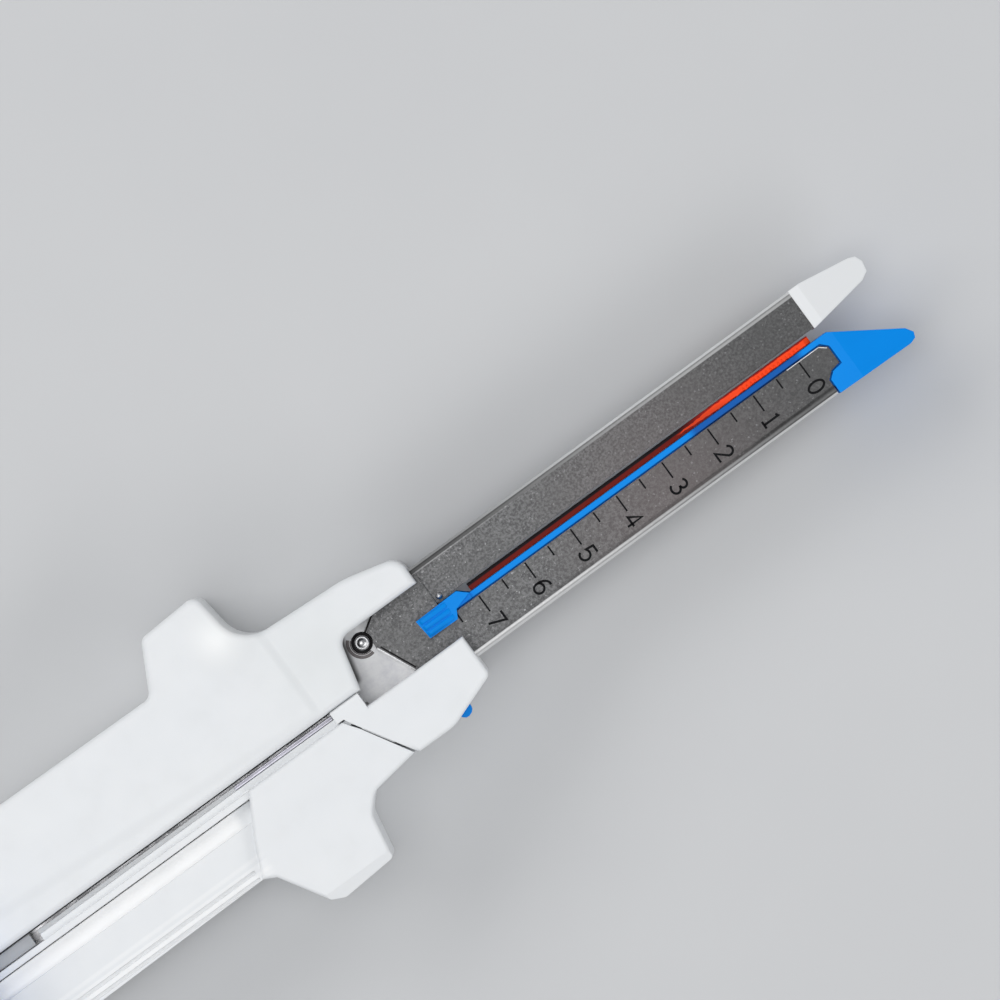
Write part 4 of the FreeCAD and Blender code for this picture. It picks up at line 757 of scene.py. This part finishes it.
def screw_set(node, body, places):
    """Countersunk screws with a cross recess and a turned thread."""
    bm = bmesh.new()
    for place, face, end in places:
        top = 0.2 - face
        under = 1.4 - face
        rings = [
            (cross(0.55, 0.16), top + 0.95), (cross(1.05, 0.26), top), (circle(1.7), top + 0.02),
            (circle(HEAD_RADIUS - 0.1), top + 0.1), (circle(HEAD_RADIUS), top + 0.28),
            (circle(HEAD_RADIUS), under), (circle(SHANK_RADIUS), under),
        ]
        level = under + 0.4
        while level < end - 1.2:
            rings += [(circle(THREAD_FOOT), level), (circle(SHANK_RADIUS), level + THREAD_PITCH / 2)]
            level += THREAD_PITCH
        rings += [(circle(THREAD_FOOT), end - 0.6), (circle(0.3), end)]
        turned(bm, place, rings)
    piece = new_piece(node + "_turned", bm, body, PIN_STEEL, 35)
    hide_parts(node)


# Fine teeth along the outer edges of the retainer's wings
TEETH_FIRST = 80.6
TEETH_LAST = 94.0
TEETH_PITCH = 0.85
TEETH_FACE = 6.3


def retainer_teeth(side, word):
    """A row of small blunt teeth on the wing's edge."""
    bm = bmesh.new()
    count = int((TEETH_LAST - TEETH_FIRST) / TEETH_PITCH)
    for index in range(count):
        x = TEETH_FIRST + index * TEETH_PITCH
        base = [(x, 1.25), (x + 0.5, 1.25), (x + 0.42, 1.95), (x + 0.08, 1.95)]
        tip = [(x + 0.12, 1.3), (x + 0.38, 1.3), (x + 0.32, 1.75), (x + 0.18, 1.75)]
        loft(bm, [[at(a, b, side * (TEETH_FACE - 0.05)) for a, b in base],
                  [at(a, b, side * (TEETH_FACE + 0.18)) for a, b in tip]])
    new_piece("retainer_teeth_" + word, bm, "retainer", RED, 30)


# Face of the upper jaw's walls, and the small stud on their lower edge
EAR_FACE = 5.15
STUD_PLACE = (15.9, 3.75)


def edge_stud(side, word):
    """Small bright dome on the anvil channel's lower edge, in front of the lower jaw's wall."""
    bm = bmesh.new()
    profile = [(0.66, -0.05), (0.64, 0.07), (0.52, 0.24), (0.30, 0.36), (0.08, 0.4)]
    lathe(bm, [(radius, side * (EAR_FACE + level)) for radius, level in profile], STUD_PLACE, 32)
    new_piece("edge_stud_" + word, bm, "anvil_half", PIN_STEEL, 50)


# Dark washer about the latch pin, its black a painted shade of the gap about the pin, and worn arc beside it,
# on the ear of the upper jaw
WASHER_INNER = 1.36
WASHER_OUTER = 1.95
ARC_OUTER = 2.85
ARC_START = 135
ARC_END = 285


def pin_washer(side, word):
    """A thin blackened washer about the pin, with a raised lip, whose black is a painted shade of the gap
    about the pin, and an arc beside it.
    """
    bm = bmesh.new()
    profile = [(WASHER_INNER, 0.02), (WASHER_INNER, 0.10), (1.5, 0.12), (1.8, 0.11),
               (WASHER_OUTER, 0.07), (WASHER_OUTER, -0.02)]
    rings = [(radius, side * (EAR_FACE + level)) for radius, level in profile]
    x, y = 0.0, PIN_HEIGHT
    rows = []
    for step in range(48):
        angle = 2 * math.pi * step / 48
        rows.append([bm.verts.new(at(x + radius * math.cos(angle), y + radius * math.sin(angle), level))
                     for radius, level in rings])
    for index, row in enumerate(rows):
        after = rows[(index + 1) % len(rows)]
        for low in range(len(row)):
            high = (low + 1) % len(row)
            bm.faces.new((row[low], row[high], after[high], after[low]))
    new_piece("pin_washer_" + word, bm, "anvil_half", PAINTED_SHADE_STEEL, 40)
    bm = bmesh.new()
    for inner, outer, tall in ((WASHER_OUTER + 0.03, 2.2, 0.05), (2.3, ARC_OUTER, 0.08)):
        points = round_path((x, y), (inner + outer) / 2, (inner + outer) / 2, ARC_START, ARC_END, 6)
        pen_stroke(bm, points, outer - inner, side * (EAR_FACE - 0.02), side * (EAR_FACE + tall))
    new_piece("pin_arc_" + word, bm, "anvil_half", WORN_STEEL, 40)


# The lower jaw's edges, with painted light laid on as thin strips: at the rear painted shade along the upper
# flank, and a painted highlight along the lower flank with painted shade beside it, at the front a painted
# highlight on the upper corner
UPPER_FLANK = [(1.55, 6.3), (6.45, 9.45)]
LOWER_FLANK = [(1.62, 2.75), (4.85, -4.35)]
BEVEL_SHADE = [(2.25, 2.55), (5.2, -4.0)]
FRONT_EDGE = [(89.0, -0.3), (95.9, -0.3), (97.1, -1.25)]


def wall_edge_light(side, word):
    """Painted light along the edges of the lower jaw's wall, as thin strips in place of bevels: two painted
    highlights and two painted shades.
    """
    low, high = side * (JAW_FACE - 0.01), side * (JAW_FACE + 0.03)
    bm = bmesh.new()
    pen_stroke(bm, LOWER_FLANK, 0.26, low, high)
    pen_stroke(bm, FRONT_EDGE, 0.15, low, high)
    new_piece("wall_edge_highlight_" + word, bm, "cartridge_half", EDGE_HIGHLIGHT_STEEL, 40)
    bm = bmesh.new()
    pen_stroke(bm, UPPER_FLANK, 0.36, low, high)
    pen_stroke(bm, BEVEL_SHADE, 0.30, low, high)
    new_piece("wall_edge_shade_" + word, bm, "cartridge_half", PAINTED_SHADE_STEEL, 40)


# Beads moulded on the front cover, which close most of the gaps to its neighbours
TOP_BEAD = [(-11.7, -1.535), (-5.8, -1.535)]
SEAM_BEAD = [(-8.72, -7.0), (-5.45, -12.4)]
BEAD_FOOT = 10.95
BEAD_FACE = 12.3


def gap_beads(side, word):
    """A bead along the head's upper edge and one down the seam to the lever."""
    bm = bmesh.new()
    for points in (TOP_BEAD, SEAM_BEAD):
        pen_stroke(bm, points, 0.14, side * BEAD_FOOT, side * BEAD_FACE)
        pen_stroke(bm, points, 0.08, side * (BEAD_FACE - 0.01), side * (BEAD_FACE + 0.08))
    new_piece("gap_beads_" + word, bm, "cartridge_half", WHITE, 40)


def make_camera():
    """Looks straight down on the part, turned so that the jaws rise to the right."""
    data = bpy.data.cameras.new("camera")
    data.sensor_width = SENSOR
    data.lens = SENSOR * CAMERA_DISTANCE / VIEW_WIDTH
    data.clip_end = 10
    camera = bpy.data.objects.new("camera", data)
    camera.location = at(*VIEW_MIDDLE, JAW_FACE + CAMERA_DISTANCE)
    camera.rotation_euler = (0, 0, -math.radians(VIEW_TURN))
    bpy.context.scene.collection.objects.link(camera)
    bpy.context.scene.camera = camera


def softbox(name, place, size, watts):
    """A large soft lamp that looks at the part."""
    data = bpy.data.lights.new(name, "AREA")
    data.shape = "RECTANGLE"
    data.size, data.size_y = size
    data.energy = watts
    lamp = bpy.data.objects.new(name, data)
    lamp.location = place
    aim = Vector((0, 0, 0)) - Vector(place)
    lamp.rotation_euler = aim.to_track_quat("-Z", "Y").to_euler()
    bpy.context.scene.collection.objects.link(lamp)


# Lamps in metres and watts: place, size and power
LAMPS = {
    "left_box": ((-0.45, 0.85, 0.75), (1.3, 0.5), 5.6),
    "right_box": ((0.45, -0.85, 0.75), (1.3, 0.5), 5.0),
    "top_box": ((-0.2, 0.1, 1.6), (0.9, 0.9), 5.7),
}
FLOOR_REACH = 3.0
SURROUND = (0.95, 0.97, 1.0, 1)
SURROUND_STRENGTH = 0.40


def make_studio():
    """Floor, lamps and a pale surround."""
    bm = bmesh.new()
    reach = FLOOR_REACH
    corners = ((-reach, -reach), (reach, -reach), (reach, reach), (-reach, reach))
    bm.faces.new([bm.verts.new((x, y, 0)) for x, y in corners])
    mesh = bpy.data.meshes.new("floor")
    bm.to_mesh(mesh)
    bm.free()
    mesh.materials.append(floor_paint())
    floor = bpy.data.objects.new("floor", mesh)
    bpy.context.scene.collection.objects.link(floor)
    for name, (place, size, watts) in LAMPS.items():
        softbox(name, place, size, watts)
    world = bpy.data.worlds.new("surround")
    world.use_nodes = True
    background = world.node_tree.nodes["Background"]
    background.inputs["Color"].default_value = SURROUND
    background.inputs["Strength"].default_value = SURROUND_STRENGTH
    bpy.context.scene.world = world


dress_nodes()
for side, word in ((1, "near"), (-1, "far")):
    printed_scale(side, word)
    lug_ridges(side, word)
    slot_strip(side, word)
    retainer_teeth(side, word)
    edge_stud(side, word)
    pin_washer(side, word)
    wall_edge_light(side, word)
    gap_beads(side, word)
latch_pin()
for node, (body, places) in SCREWS.items():
    screw_set(node, body, places)
make_camera()
make_studio()
bpy.context.scene.view_settings.view_transform = "Standard"
